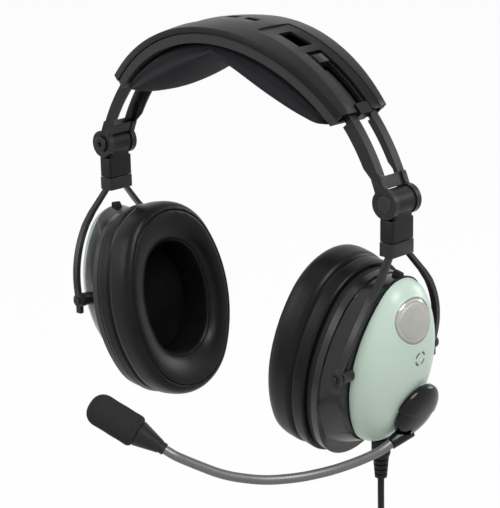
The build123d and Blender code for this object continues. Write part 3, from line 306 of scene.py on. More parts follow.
# one finish for each slot: name, colour and roughness, then what sets it apart
finishes = {
    "shell": newFinish("satinShell", (0.0062, 0.0055, 0.005), 0.38, grain=0.03, grainScale=1400,
                       mottle=0.15, wear=0.1, specular=0.13),
    "carrier": newFinish("greyTray", (0.036, 0.035, 0.037), 0.52, grain=0.04, grainScale=1200,
                         mottle=0.08, specular=0.12),
    "pad": newFinish("padCloth", (0.0175, 0.017, 0.0205), 0.85, weave=0.12, weaveScale=520,
                     sheen=0.08, mottle=0.18, mottleScale=35, specular=0.05),
    "clip": newFinish("clipPlastic", (0.006, 0.0056, 0.0056), 0.4, grain=0.02, mottle=0.1,
                      specular=0.12),
    "arm": newFinish("armPaint", (0.0085, 0.0076, 0.0071), 0.32, grain=0.02, grainScale=1500,
                     wear=0.35, mottle=0.15, specular=0.22),
    "pin": newFinish("turnedSteel", (0.55, 0.55, 0.56), 0.28, metal=1.0, mottle=0.04),
    "cap": newFinish("capPlastic", (0.026, 0.0235, 0.021), 0.38, grain=0.02, mottle=0.08, wear=0.1,
                     specular=0.2),
    "screw": newFinish("blackScrew", (0.021, 0.0204, 0.0204), 0.25, metal=0.7, mottle=0.1, wear=0.4,
                       specular=0.3),
    "knuckle": newFinish("knucklePlastic", (0.006, 0.0054, 0.005), 0.33, grain=0.03,
                         grainScale=1300, mottle=0.12, wear=0.15, specular=0.15),
    "stirrup": newFinish("stirrupPaint", (0.014, 0.0135, 0.0135), 0.3, grain=0.015, mottle=0.1,
                         wear=0.3, specular=0.2),
    "seal": newFinish("sealLeatherette", (0.0035, 0.0035, 0.0041), 0.33, pebble=0.035,
                      pebbleScale=1100, grain=0.02, grainScale=500, mottle=0.12, mottleScale=45,
                      roughSpread=0.07, specular=0.13),
    "foam": newFinish("cupFoam", (0.004, 0.0036, 0.0036), 0.95, grain=0.25, grainScale=700,
                      mottle=0.2, specular=0),
    "plate": newFinish("sealPlatePlastic", (0.0072, 0.0072, 0.0072), 0.4, grain=0.02,
                       specular=0.15),
    "speaker": newFinish("speakerPlastic", (0.04, 0.04, 0.04), 0.4, grain=0.02),
    "housing": newFinish("housingGloss", (0.006, 0.006, 0.0067), 0.26, grain=0.008, grainScale=400,
                         mottle=0.1, roughSpread=0.04, specular=0.42),
    "boot": newFinish("bootRubber", (0.0067, 0.0067, 0.0067), 0.5, grain=0.04, specular=0.1),
    "dome": newFinish("domeGreen", (0.44, 0.545, 0.465), 0.3, grain=0.006, grainScale=500,
                      mottle=0.015, mottleScale=30, roughSpread=0.02, specular=0.3),
    "badge": newFinish("badgeSilver", (0.65, 0.64, 0.585), 0.34, metal=0.3, grain=0.01,
                       mottle=0.03, specular=0.4),
    "lens": lensFinish("clearLens", 1.46, 200.0, 2.0, 0.03, 0.09),
    # vent: a darker green than the dome, painted shade for the inside of the vent slits
    "vent": newFinish("ventSlitPaintedShade", (0.085, 0.145, 0.115), 0.6, grain=0.02, specular=0.2),
    "hub": newFinish("hubGloss", (0.0035, 0.0033, 0.0036), 0.11, grain=0.004, grainScale=250,
                     mottle=0.1, roughSpread=0.02, specular=0.2),
    "boom": newFinish("boomGrey", (0.125, 0.122, 0.12), 0.34, metal=0.35, grain=0.02,
                      grainScale=1200, mottle=0.1, specular=0.35),
    "clamp": newFinish("clampPlastic", (0.009, 0.0088, 0.0088), 0.38, grain=0.02, mottle=0.1,
                       wear=0.15, specular=0.2),
    "muff": newFinish("muffFoam", (0.024, 0.024, 0.0245), 0.95, grain=0.3, grainScale=1300,
                      mottle=0.25, mottleScale=500, sheen=0.05, specular=0.02),
    "gland": newFinish("glandRubber", (0.0081, 0.0081, 0.0081), 0.45, grain=0.03, mottle=0.1,
                       specular=0.15),
    "cord": newFinish("cordJacket", (0.0077, 0.0077, 0.0077), 0.42, grain=0.03, grainScale=600,
                      mottle=0.1, specular=0.15),
    "tie": newFinish("tieRubber", (0.011, 0.011, 0.011), 0.6, grain=0.05, mottle=0.1, specular=0.1),
    "plug": newFinish("plugPlastic", (0.0085, 0.0085, 0.0085), 0.35, grain=0.03, mottle=0.1,
                      specular=0.2),
    "contact": newFinish("contactBrass", (0.72, 0.56, 0.27), 0.2, metal=1.0, mottle=0.05),
}
print("finishes mixed")


def wear(piece, slot):
    piece.data.materials.clear()
    piece.data.materials.append(finishes[slot])


wear(headsetCord, "cord")


def gridPiece(name, rows, firstPole=None, lastPole=None, alongClosed=False):
    # rows[i, j] is the point at step i along and j around; a pole closes the first or last ring
    # with a fan
    rows = np.asarray(rows, float)
    n, m = rows.shape[:2]
    points = [rows.reshape(-1, 3)]
    i, j = np.meshgrid(np.arange(n if alongClosed else n - 1), np.arange(m), indexing="ij")
    a, b = i * m + j, i * m + (j + 1) % m
    c, d = ((i + 1) % n) * m + (j + 1) % m, ((i + 1) % n) * m + j
    faces = np.stack([a, b, c, d], -1).reshape(-1, 4).tolist()
    ring = np.arange(m)
    following = (ring + 1) % m
    if firstPole is not None:
        points.append(np.array([firstPole], float))
        faces += np.stack([following, ring, np.full(m, n * m)], 1).tolist()
    if lastPole is not None:
        top = n * m + (firstPole is not None)
        points.append(np.array([lastPole], float))
        faces += np.stack([(n - 1) * m + ring, (n - 1) * m + following, np.full(m, top)], 1).tolist()
    mesh = bpy.data.meshes.new(name)
    mesh.from_pydata((np.vstack(points) * mm).tolist(), [], faces)
    mesh.update()
    piece = bpy.data.objects.new(name, mesh)
    scene.collection.objects.link(piece)
    outward(mesh)
    mesh.shade_smooth()
    return piece


def outward(mesh):
    # turns every face to point out of the closed mesh
    work = bmesh.new()
    work.from_mesh(mesh)
    bmesh.ops.recalc_face_normals(work, faces=work.faces)
    work.to_mesh(mesh)
    work.free()


edging = {"merge": 2e-6, "flat": 0.4, "steps": 2, "from": 32, "sharp": 60}


def softEdged(node, width, e=edging):
    # a copy of a rigid node, merged, with its edges rounded and its curves shaded smooth
    source = frame["nodes"][node]
    mesh = source.data.copy()
    work = bmesh.new()
    work.from_mesh(mesh)
    bmesh.ops.remove_doubles(work, verts=work.verts, dist=e["merge"])
    bmesh.ops.dissolve_limit(work, angle_limit=math.radians(e["flat"]), verts=work.verts,
                             edges=work.edges)
    work.to_mesh(mesh)
    work.free()
    piece = bpy.data.objects.new(node + "Finished", mesh)
    scene.collection.objects.link(piece)
    mesh.shade_smooth()
    bevel = piece.modifiers.new("softEdge", "BEVEL")
    bevel.width = width * mm
    bevel.segments = e["steps"]
    bevel.limit_method = "ANGLE"
    bevel.angle_limit = math.radians(e["from"])
    bevel.use_clamp_overlap = True
    bevel.harden_normals = True
    mesh.set_sharp_from_angle(angle=math.radians(e["sharp"]))
    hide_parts(node)
    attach(piece, source["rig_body"])
    return piece


def evenly(line, count, closer=None):
    # points at equal steps along a closed line; closer(points) says how many times denser they lie
    step = np.hypot(*np.diff(line, axis=0).T)
    if closer:
        step = step * closer(line[:-1])
    run = np.concatenate([[0], np.cumsum(step)])
    at = np.arange(count) / count * run[-1]
    return np.stack([np.interp(at, run, line[:, k]) for k in (0, 1)], 1)


def eggRing(width, height, topRadius, bottomRadius, count, flankSteps=1200, endSteps=800):
    # two end circles joined by two large flank arcs that touch both; returned evenly spaced
    half = width / 2
    topY, bottomY = height / 2 - topRadius, bottomRadius - height / 2
    topK, bottomK = width - 2 * topRadius, width - 2 * bottomRadius
    a = 1 / topK - 1 / bottomK
    b = -2 * topY / topK + 2 * bottomY / bottomK
    c = (half**2 - topRadius**2 + topY**2) / topK - (half**2 - bottomRadius**2 + bottomY**2) / bottomK
    roots = np.roots([a, b, c]).real
    flankY = roots[np.argmin(np.abs(roots))]
    flankRadius = (half**2 - topRadius**2 + (flankY - topY) ** 2) / topK
    flankX = half - flankRadius
    low = math.atan2(bottomY - flankY, -flankX)
    high = math.atan2(topY - flankY, -flankX)

    def arc(x, y, radius, start, end, steps):
        t = np.linspace(start, end, steps)
        return np.stack([x + radius * np.cos(t), y + radius * np.sin(t)], 1)

    right = arc(flankX, flankY, flankRadius, low, high, flankSteps)
    top = arc(0, topY, topRadius, high, np.pi - high, endSteps)
    bottom = arc(0, bottomY, bottomRadius, -np.pi - low, low, endSteps)
    line = np.vstack([right, top[1:], right[-2::-1] * [-1, 1], bottom[1:]])
    start = flankSteps // 2
    return evenly(np.vstack([line[start:], line[1:start + 1]]), count)


cupPlace = {"pivotX": 92.7, "pivotZ": -142.5, "tilt": 12.0}


def cupPoint(side, outwards, back, rise, place=cupPlace):
    # cup frame to headset frame: outwards from the pivots, back, and up the leaning cup
    t = math.radians(place["tilt"])
    x = place["pivotX"] + outwards * math.cos(t) + rise * math.sin(t)
    z = place["pivotZ"] - outwards * math.sin(t) + rise * math.cos(t)
    x, back, z = np.broadcast_arrays(x, back, z)
    return np.stack([side * x, back, z], -1)


# ear cups; "under" is the dome's turned-in edge: share of the outline, and height
domeShell = {"width": 53.0, "height": 88.5, "topRadius": 16.5, "bottomRadius": 19.5, "depth": 18.6,
             "start": 1.0, "rise": 0.7, "power": 2.2, "around": 300, "rings": 150, "skin": 0.25,
             "under": [(0.5, 0.0), (0.965, 0.0), (0.985, 0.08)], "edge": 1e-6,
             "badgeBack": -2.5, "badgeRise": 29.0, "badgeLean": 18.0, "badgeRadius": 11.4,
             "badgeSink": 1.3, "badgeStep": 0.5, "badgeNear": -9.0,
             "lip": 0.22, "lipOut": 0.5, "lipWidth": 0.45}


def eggReach(shell):
    # distance from the egg's middle to its outline, as a function of direction
    ring = eggRing(shell["width"], shell["height"], shell["topRadius"], shell["bottomRadius"], 2000)
    angle = np.arctan2(ring[:, 1], ring[:, 0])
    order = np.argsort(angle)
    angle, reach = angle[order], np.hypot(*ring[order].T)
    return lambda back, rise: np.interp(np.arctan2(rise, back), angle, reach, period=2 * np.pi)


domeReach = eggReach(domeShell)


def domeHeight(back, rise, shell=domeShell):
    # outwards = start + depth * (1 - s^2)^(1/2.2), s being the share of the way to the outline
    rise = rise - shell["rise"]
    share = np.hypot(back, rise) / domeReach(back, rise)
    inside = np.clip(1 - share**2, shell["edge"], 1)
    return shell["start"] + shell["depth"] * inside ** (1 / shell["power"])


def cupDirection(lean):
    # outwards, turned up by lean, and the way up beside it
    t = math.radians(lean)
    return np.array([math.cos(t), 0, math.sin(t)]), np.array([-math.sin(t), 0, math.cos(t)])


def badgeFrame(shell=domeShell):
    axis, up = cupDirection(shell["badgeLean"])
    back, rise = shell["badgeBack"], shell["badgeRise"]
    return np.array([domeHeight(back, rise), back, rise]), axis, up


def onDome(u, v, centre, axis, up, rounds=25, damping=0.7):
    # slides the points of a plane along its axis until they lie on the dome
    spot = centre + u[..., None] * np.array([0, 1, 0]) + v[..., None] * up
    for _ in range(rounds):
        miss = domeHeight(spot[..., 1], spot[..., 2]) - spot[..., 0]
        spot = spot + axis * (damping * miss / axis[0])[..., None]
    return spot


def makeDome(side, shell=domeShell):
    # rings shrink as cos t while they step out as (1 - cos^2 t)^(1/2.2); the left one is sunk
    # round the badge
    ring = eggRing(shell["width"], shell["height"], shell["topRadius"], shell["bottomRadius"],
                   shell["around"])
    share = np.cos(np.linspace(0, np.pi / 2, shell["rings"])[:-1])
    outwards = shell["start"] + shell["depth"] * (1 - share**2) ** (1 / shell["power"])
    underShare, underHeight = np.array(shell["under"]).T
    share = np.concatenate([underShare, share])
    outwards = np.concatenate([shell["start"] + underHeight, outwards + shell["skin"]])
    grid = np.stack([np.broadcast_to(outwards[:, None], (len(share), len(ring))),
                     share[:, None] * ring[None, :, 0],
                     share[:, None] * ring[None, :, 1] + shell["rise"]], -1)
    if side > 0:
        centre, axis, up = badgeFrame()
        away = grid - centre
        along = away @ axis
        across = np.sqrt(np.maximum(np.sum(away**2, -1) - along**2, 0))
        near = along > shell["badgeNear"]
        sink = np.clip((shell["badgeRadius"] - across) / shell["badgeStep"], 0, 1)
        sink = sink * sink * (3 - 2 * sink) * near
        across = across - shell["badgeRadius"]
        lip = shell["lip"] * hump(across, shell["lipOut"], shell["lipWidth"]) * near
        grid = grid + axis * (lip - shell["badgeSink"] * sink)[..., None]
    place = cupPoint(side, grid[..., 0], grid[..., 1], grid[..., 2])
    top = shell["start"] + shell["depth"] + shell["skin"]
    piece = gridPiece("dome" + cupNames[side].capitalize() + "Shell", place,
                      firstPole=cupPoint(side, shell["start"], 0, shell["rise"]),
                      lastPole=cupPoint(side, top, 0, shell["rise"]))
    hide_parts("dome_" + cupNames[side])
    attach(piece, cupNames[side] + "_cup")
    wear(piece, "dome")


for side in (1, -1):
    makeDome(side)
print("domes shaped")

# profiles from the middle of the top round to the middle below: share of the radius, then height;
# the plate's heights start from its depth under the dome, the cover's top is in shares of its rise
badgeDisc = {"plateRadius": 10.5, "plateDepth": 0.75, "ringRadius": 11.2, "lensRise": 0.95,
             "around": 96,
             "plate": [*((k, 0.35) for k in np.linspace(0.05, 0.78, 14)),
                       (0.81, 0.33), (0.825, 0.05), (0.845, -0.02), (0.86, 0.05), (0.875, 0.35),
                       (0.90, 0.50), (0.95, 0.46), (0.985, 0.2), (1, -0.3), (1, -0.5), (0.5, -0.5)],
             "coverTop": [*((k, 1) for k in np.linspace(0.05, 0.84, 14)),
                          (0.865, 0.97), (0.885, 0.80), (0.90, 0.76), (0.915, 0.80), (0.94, 0.78),
                          (0.985, 0.30), (1, 0)],
             "coverBelow": [(1, -0.9), (0.955, -1.0), (0.94, -0.30),
                            (0.9, -0.22), (0.6, -0.22), (0.3, -0.22), (0.05, -0.22)]}


def makeBadge(b):
    # a bare plate that follows the dome, with a raised rim, under a clear cover with a bevelled rim
    centre, axis, up = badgeFrame()
    a = np.linspace(0, 2 * np.pi, b["around"] + 1)[:-1]

    def layer(name, profile, slot, node):
        rows = [onDome(radius * np.cos(a), radius * np.sin(a), centre, axis, up) + axis * height
                for radius, height in profile]
        spread = lambda q: cupPoint(1, q[..., 0], q[..., 1], q[..., 2])
        piece = gridPiece(name, spread(np.array(rows)), firstPole=spread(rows[0].mean(0)),
                          lastPole=spread(rows[-1].mean(0)))
        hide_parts(node)
        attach(piece, "left_cup")
        wear(piece, slot)

    r, d = b["plateRadius"], b["plateDepth"]
    layer("badgePlate", [(r * k, height - d) for k, height in b["plate"]], "badge", "badge")
    r, h = b["ringRadius"], b["lensRise"]
    cover = [(r * k, h * share) for k, share in b["coverTop"]]
    cover += [(r * k, height) for k, height in b["coverBelow"]]
    layer("badgeCover", cover, "lens", "badge_lens")


makeBadge(badgeDisc)
print("badge set in")

ventRing = {"back": 1.0, "rise": 9.5, "radius": 3.3, "width": 1.15, "along": 14, "around": 12,
            "thin": 0.02, "proud": 0.17, "middle": 0.14, "lift": 0.10,
            "arcs": ((15, 76), (102, 168), (194, 262), (288, 348))}


def makeVent(v):
    # four short arc slits round a plain spot: each is a dark flat rounded bar bent along its arc, its
    # width going as (1 - x^4)^(1/2) from end to end; the bars' dark green is painted shade that stands
    # in for the shade inside the slits
    pieces = []
    for low, high in v["arcs"]:
        t = np.radians(np.linspace(low, high, v["along"]))
        x = np.linspace(-1, 1, v["along"])
        end = np.sqrt(np.clip(1 - x**4, v["thin"], 1)) * v["width"] / 2
        ring = np.linspace(0, 2 * np.pi, v["around"] + 1)[:-1]
        radius = v["radius"] + end[:, None] * np.cos(ring)
        back = v["back"] + radius * np.cos(t)[:, None]
        rise = v["rise"] + radius * np.sin(t)[:, None]
        lift = v["lift"] * np.sin(ring)[None, :] + v["middle"]
        bar = cupPoint(1, domeHeight(back, rise) + v["proud"] + lift, back, rise)
        pieces.append(gridPiece("ventSlit", bar, firstPole=bar[0].mean(0), lastPole=bar[-1].mean(0)))
    bpy.ops.object.select_all(action="DESELECT")
    for p in pieces:
        p.select_set(True)
    bpy.context.view_layer.objects.active = pieces[0]
    bpy.ops.object.join()
    piece = pieces[0]
    piece.name = "ventSlits"
    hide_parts("vent")
    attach(piece, "left_cup")
    piece.data.materials.append(finishes["vent"])


makeVent(ventRing)
print("vent cut")

earPad = {"width": 75.0, "height": 106.3, "endRadius": 32.0, "holeWidth": 43.0, "holeHeight": 60.0,
          "holeEnd": 19.5, "drop": 7.0, "lead": 1.0, "holeBack": 1.2,
          "around": 288, "samples": 150, "span": 18.0, "seamCloser": 5,
          # inset from the outer outline (0) to the hole (1), and distance outwards from the pivots
          "section": [(0.50, -17.95), (0.10, -17.95), (0.055, -18.3), (0.04, -19.2), (0.04, -24.2),
                      (0.055, -25.2), (0.11, -25.9), (0.115, -26.4), (0.07, -26.9), (0.025, -27.9),
                      (0.005, -29.6), (0.0, -32.5), (0.0, -35.2), (0.010, -37.6), (0.035, -39.8),
                      (0.08, -41.5), (0.13, -42.45), (0.165, -42.78), (0.190, -42.85),
                      (0.205, -42.75), (0.214, -42.45), (0.220, -42.1), (0.226, -42.45),
                      (0.235, -42.8), (0.250, -43.0), (0.275, -43.12), (0.33, -43.15),
                      (0.42, -43.0), (0.54, -42.5), (0.66, -41.7), (0.77, -40.6), (0.84, -39.6),
                      (0.885, -38.75), (0.905, -38.2), (0.906, -37.8), (0.925, -37.65),
                      (0.95, -37.0), (0.98, -35.3), (1.0, -32.5), (1.0, -27.0), (0.99, -22.0),
                      (0.96, -19.2), (0.90, -18.0)],
          "front": -40.0, "seamInset": 0.22, "seamWidth": 0.035, "seamHeld": 0.02,
          # unevenness: size, waves round the pad, phase, and phase that turns over with the side
          "waves": ((0.16, 5, 0.0, 0.7), (0.10, 11, 1.3, 0.0), (0.06, 23, 2.1, 0.0)),
          "fleshAt": -35.0, "fleshWidth": 6.0, "waveInset": 0.006, "waveDepth": 0.35, "wallEnd": 0.1,
          "pucker": 0.10, "puckerWidth": 0.07, "puckers": 41,
          "liningFrom": 0.955, "liningDepth": -37.0, "jointTurn": 0.14, "jointWidth": 0.013,
          "jointDepth": 0.022, "holeHeld": 0.88, "fade": 0.03, "backHeld": -26.6,
          "pressure": 3.0, "cap": 0.9}


def smoothLoop(points, count, closer=None):
    # a closed Catmull-Rom curve through the points, resampled evenly, or closer where asked
    p = np.asarray(points, float)
    a, b, c, d = np.roll(p, 1, 0), p, np.roll(p, -1, 0), np.roll(p, -2, 0)
    t = np.linspace(0, 1, 20)[:-1, None, None]
    curve = 0.5 * (2 * b + (c - a) * t + (2 * a - 5 * b + 4 * c - d) * t**2
                   + (3 * b - a - 3 * c + d) * t**3)
    line = curve.transpose(1, 0, 2).reshape(-1, 2)
    return evenly(np.vstack([line, line[:1]]), count, closer)


clothFeel = {"tension": 18, "compression": 8, "bending": 0.4, "quality": 6, "frames": 14}


def puff(piece, held, pressure, cap, c=clothFeel):
    # cloth under pressure, held where the seams are; no point may move further than the cap
    mesh = piece.data
    start = np.zeros(len(mesh.vertices) * 3)
    mesh.vertices.foreach_get("co", start)
    start = start.reshape(-1, 3)
    group = piece.vertex_groups.new(name="held")
    levels = np.round(held, 2)
    for level in np.unique(levels):
        if level > 0:
            group.add(np.nonzero(levels == level)[0].tolist(), float(level), "REPLACE")
    cloth = piece.modifiers.new("cloth", "CLOTH")
    setting = cloth.settings
    setting.use_pressure = True
    setting.uniform_pressure_force = pressure
    setting.vertex_group_mass = "held"
    setting.effector_weights.gravity = 0
    setting.tension_stiffness = c["tension"]
    setting.compression_stiffness = c["compression"]
    setting.bending_stiffness = c["bending"]
    setting.quality = c["quality"]
    cloth.collision_settings.use_self_collision = False
    scene.frame_start = 1
    scene.frame_end = c["frames"]
    cloth.point_cache.frame_start = 1
    cloth.point_cache.frame_end = c["frames"]
    for step in range(1, c["frames"] + 1):
        scene.frame_set(step)
    shaped = piece.evaluated_get(bpy.context.evaluated_depsgraph_get()).data
    end = np.zeros(len(start) * 3)
    shaped.vertices.foreach_get("co", end)
    move = end.reshape(-1, 3) - start
    far = np.linalg.norm(move, axis=1, keepdims=True)
    limit, nothing = cap * mm, 1e-9
    share = limit * np.tanh(far / limit) / np.maximum(far, nothing)
    move = move * np.where(far > nothing, share, 1)
    piece.modifiers.remove(cloth)
    piece.vertex_groups.remove(group)
    mesh.vertices.foreach_set("co", (start + move).ravel())
    mesh.update()
    scene.frame_set(1)


def makeEarPad(side, e=earPad):
    # each ring blends the outer outline into the hole's by the section's inset, at its depth
    outer = eggRing(e["width"], e["height"], e["endRadius"], e["endRadius"], e["around"])
    hole = eggRing(e["holeWidth"], e["holeHeight"], e["holeEnd"], e["holeEnd"], e["around"])
    span = np.array([e["span"], 1.0])
    nearSeam = lambda p: 1 + e["seamCloser"] * hump(p[:, 0] / e["span"], e["seamInset"],
                                                    e["seamWidth"]) * (p[:, 1] < e["front"])
    section = smoothLoop(np.array(e["section"]) * span, e["samples"], nearSeam) / span
    inset, depth = section.T
    front = depth < e["front"]
    # slow unevenness of a hand-sewn cover, strongest on its outer wall
    turn = np.linspace(0, 2 * np.pi, e["around"], endpoint=False)
    wave = sum(size * np.sin(count * turn + phase + turned * side)
               for size, count, phase, turned in e["waves"])
    flesh = hump(depth, e["fleshAt"], e["fleshWidth"])
    # small puckers beside the seam, and the lining's butt joint down the hole
    beside = hump(inset, e["seamInset"], e["puckerWidth"]) * front
    pucker = np.sin(e["puckers"] * turn + 2 * np.sin(3 * turn)) * (0.6 + 0.4 * np.sin(7 * turn + side))
    lining = ramp(inset, e["liningFrom"], e["fade"]) * (depth > e["liningDepth"])
    joint = hump(turn, e["jointTurn"], e["jointWidth"])
    share = inset[:, None] - e["waveInset"] * flesh[:, None] * wave[None, :] \
        - e["jointDepth"] * lining[:, None] * joint[None]
    ring = outer[None] * (1 - share[..., None]) + (hole + [e["holeBack"], 0])[None] * share[..., None]
    out = depth[:, None] + e["waveDepth"] * (flesh * (inset > e["wallEnd"]))[:, None] * wave[None, :]
    out = out + e["pucker"] * beside[:, None] * pucker[None]
    rows = cupPoint(side, out, ring[..., 0] - e["lead"], ring[..., 1] - e["drop"])
    piece = gridPiece("earPad" + cupNames[side].capitalize(), rows, alongClosed=True)
    held = np.maximum(hump(inset, e["seamInset"], e["seamHeld"]) * front,
                      ramp(inset, e["holeHeld"], e["fade"]))
    held = np.clip(np.maximum(held, (depth > e["backHeld"]) * 1.0), 0, 1)
    puff(piece, np.repeat(held, e["around"]), e["pressure"], e["cap"])
    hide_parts("ear_seal_" + cupNames[side])
    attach(piece, cupNames[side] + "_cup")
    wear(piece, "seal")


for side in (1, -1):
    makeEarPad(side)
print("ear pads sewn")

# profile: share of the outline, and height from the foam's outer face
cupLining = {"width": 41.8, "height": 58.8, "endRadius": 18.9, "around": 160, "back": 0.8,
             "high": -17.9,
             "profile": [(0.1, -2.9), (0.3, -2.88), (0.5, -2.8), (0.7, -2.7), (0.85, -2.55),
                         (0.94, -2.3), (0.985, -1.9), (1.0, -1.4), (1.0, -0.5), (0.985, -0.05),
                         (0.9, 0.0), (0.5, 0.0)]}


def makeLining(side, c=cupLining):
    # a thin foam oval with a soft edge, slightly domed
    ring = eggRing(c["width"], c["height"], c["endRadius"], c["endRadius"], c["around"])
    share, height = np.array(c["profile"]).T
    grid = ring[None] * share[:, None, None]
    rows = cupPoint(side, (height + c["high"])[:, None], grid[..., 0] - earPad["lead"] + c["back"],
                    grid[..., 1] - earPad["drop"])
    piece = gridPiece("cupFoam" + cupNames[side].capitalize(), rows, firstPole=rows[0].mean(0),
                      lastPole=rows[-1].mean(0))
    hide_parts("inner_foam_" + cupNames[side])
    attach(piece, cupNames[side] + "_cup")
    wear(piece, "foam")


for side in (1, -1):
    makeLining(side)
print("linings laid in")

# head cushion; its underside is given as angle from the crown and radius from the band's middle
crownPad = {"arcZ": -92.0, "top": 97.85, "around": 96, "along": 190, "endAngle": 46.5,
            "crownWidth": 46.0, "tipWidth": 27.0, "tipReach": 80.4,
            "underside": [(0, 92.0), (3, 88.6), (8, 85.0), (15, 81.6), (22, 80.0), (29, 80.4),
                          (36, 82.8), (41, 86.2), (44.5, 90.6), (46.5, 95.6)],
            "sidePower": 0.55, "fallPower": 0.62, "flatTop": 1.06, "belly": 0.20,
            "pinch": 2.0, "pinchAt": 0.30, "pinchWidth": 0.32,
            "tieWidth": 1.6, "heldFrom": 0.2, "heldGain": 3, "pressure": 2.0, "cap": 1.4}


def smoothCurve(x, y, count):
    # a natural cubic through the points, found by solving for its second derivatives
    h = np.diff(x)
    n = len(x)
    a = np.eye(n)
    b = np.zeros(n)
    for k in range(1, n - 1):
        a[k, k - 1:k + 2] = h[k - 1], 2 * (h[k - 1] + h[k]), h[k]
        b[k] = 6 * ((y[k + 1] - y[k]) / h[k] - (y[k] - y[k - 1]) / h[k - 1])
    m = np.linalg.solve(a, b)
    at = np.linspace(x[0], x[-1], count)
    k = np.clip(np.searchsorted(x, at) - 1, 0, n - 2)
    s, e = at - x[k], x[k + 1] - at
    return (m[k] * e**3 + m[k + 1] * s**3) / (6 * h[k]) + (y[k] / h[k] - m[k] * h[k] / 6) * e \
        + (y[k + 1] / h[k] - m[k + 1] * h[k] / 6) * s


def signedPower(x, power):
    return np.sign(x) * np.abs(x) ** power


def makeCrownPad(p, fine=200):
    # sections across the band: flat on top, pinched under the tray, crowned below; the radius of
    # the underside follows the two lobes, and the width follows the band's plan
    angle = np.linspace(-p["endAngle"], p["endAngle"], p["along"])
    a, r = np.array(p["underside"]).T
    low = np.interp(np.abs(angle), np.linspace(0, a[-1], fine), smoothCurve(a, r, fine))
    # plan outline: one arc through the two tips and the crown, at x = R sin(angle)
    x = low * np.sin(np.radians(angle))
    crown = p["crownWidth"] / 2
    sag = crown - p["tipWidth"] / 2
    big = (p["tipReach"] ** 2 + sag**2) / (2 * sag)
    half = crown - (big - np.sqrt(big**2 - x**2))
    depth = p["top"] - low
    # superellipse section: fall goes from 1 at the tray to -1 at the belly
    v = np.linspace(0, 2 * np.pi, p["around"], endpoint=False)
    side = signedPower(np.cos(v), p["sidePower"])
    fall = signedPower(np.sin(v), p["fallPower"])
    belly = np.clip(-fall, 0, 1)
    bulge = 1 - p["pinch"] / half[:, None] * hump(fall[None], p["pinchAt"], p["pinchWidth"])
    y = half[:, None] * side[None] * bulge
    flat = np.where(fall > 0, np.minimum(fall * p["flatTop"], 1), fall)
    radial = p["top"] - depth[:, None] * (0.5 - 0.5 * flat[None])
    radial = radial + (depth * p["belly"])[:, None] * (belly * side**2)[None]
    t = np.radians(angle)[:, None]
    rows = np.stack([radial * np.sin(t), y, p["arcZ"] + radial * np.cos(t)], -1)
    piece = gridPiece("crownCushion", rows, firstPole=rows[0].mean(0), lastPole=rows[-1].mean(0))
    # held at the crown's tie and along the tray
    held = np.maximum(hump(angle, 0, p["tieWidth"])[:, None],
                      np.clip((fall[None] - p["heldFrom"]) * p["heldGain"], 0, 1))
    puff(piece, np.concatenate([held.ravel(), [1, 1]]), p["pressure"], p["cap"])
    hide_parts("head_pad")
    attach(piece, "band")
    wear(piece, "pad")


makeCrownPad(crownPad)
print("crown cushion filled")

# microphone boom; "under" is the hub's turned-in edge: share of the radius, and height
boomLine = {"hub": (105.871, 6.0, -165.747), "lean": 22.0, "radius": 14.6, "thickness": 6.8,
            "gap": 0.3, "rim": 1.6, "power": 2.4, "around": 180, "rings": 48,
            "under": [(0.5, 0.0), (0.975, 0.0), (0.995, 0.25)],
            "tipTurn": 258.0, "tip": 0.07, "tipPower": 8, "narrow": 0.075}


def makeHub(b):
    # a glossy teardrop: height above the seat falls as (1 - s^2.4)^(1/2); it reaches out towards
    # the ferrule
    axis, up = cupDirection(-b["lean"])
    back = np.array([0, 1.0, 0])
    around = np.linspace(0, 2 * np.pi, b["around"] + 1)[:-1]
    s = np.sin(np.linspace(0, np.pi / 2, b["rings"]))[::-1][:-1]
    height = b["gap"] + b["rim"] + (b["thickness"] - b["rim"]) * np.sqrt(1 - s ** b["power"])
    underShare, underHeight = np.array(b["under"]).T
    share = np.concatenate([underShare, s])
    height = np.concatenate([b["gap"] + underHeight, height])
    towards = around - math.radians(b["tipTurn"])
    front = np.clip(np.cos(towards), 0, 1)
    reach = b["radius"] * (1 - b["narrow"] * np.sin(towards) ** 2 * (front > 0)
                           + b["tip"] * front ** b["tipPower"])
    spots = share[:, None] * reach[None]
    middle = np.array(b["hub"])
    place = middle + (spots * np.cos(around))[..., None] * back \
        + (spots * np.sin(around))[..., None] * up + height[:, None, None] * axis
    piece = gridPiece("boomHub", place, firstPole=middle + axis * b["gap"],
                      lastPole=middle + axis * (b["gap"] + b["thickness"]))
    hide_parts("boom_hub")
    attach(piece, "boom")
    wear(piece, "hub")


makeHub(boomLine)

windMuff = {"start": (29.071, -89.6, -179.247), "towards": (-4.7, -2.5, 2.9), "from": 15.3,
            "length": 27.5, "radius": 8.1, "frontRound": 6.5, "backRound": 2.4, "around": 144,
            "mouth": [(3.4, 1.2), (3.6, 0.35)], "ripple": 0.05, "rippleRate": 0.7}


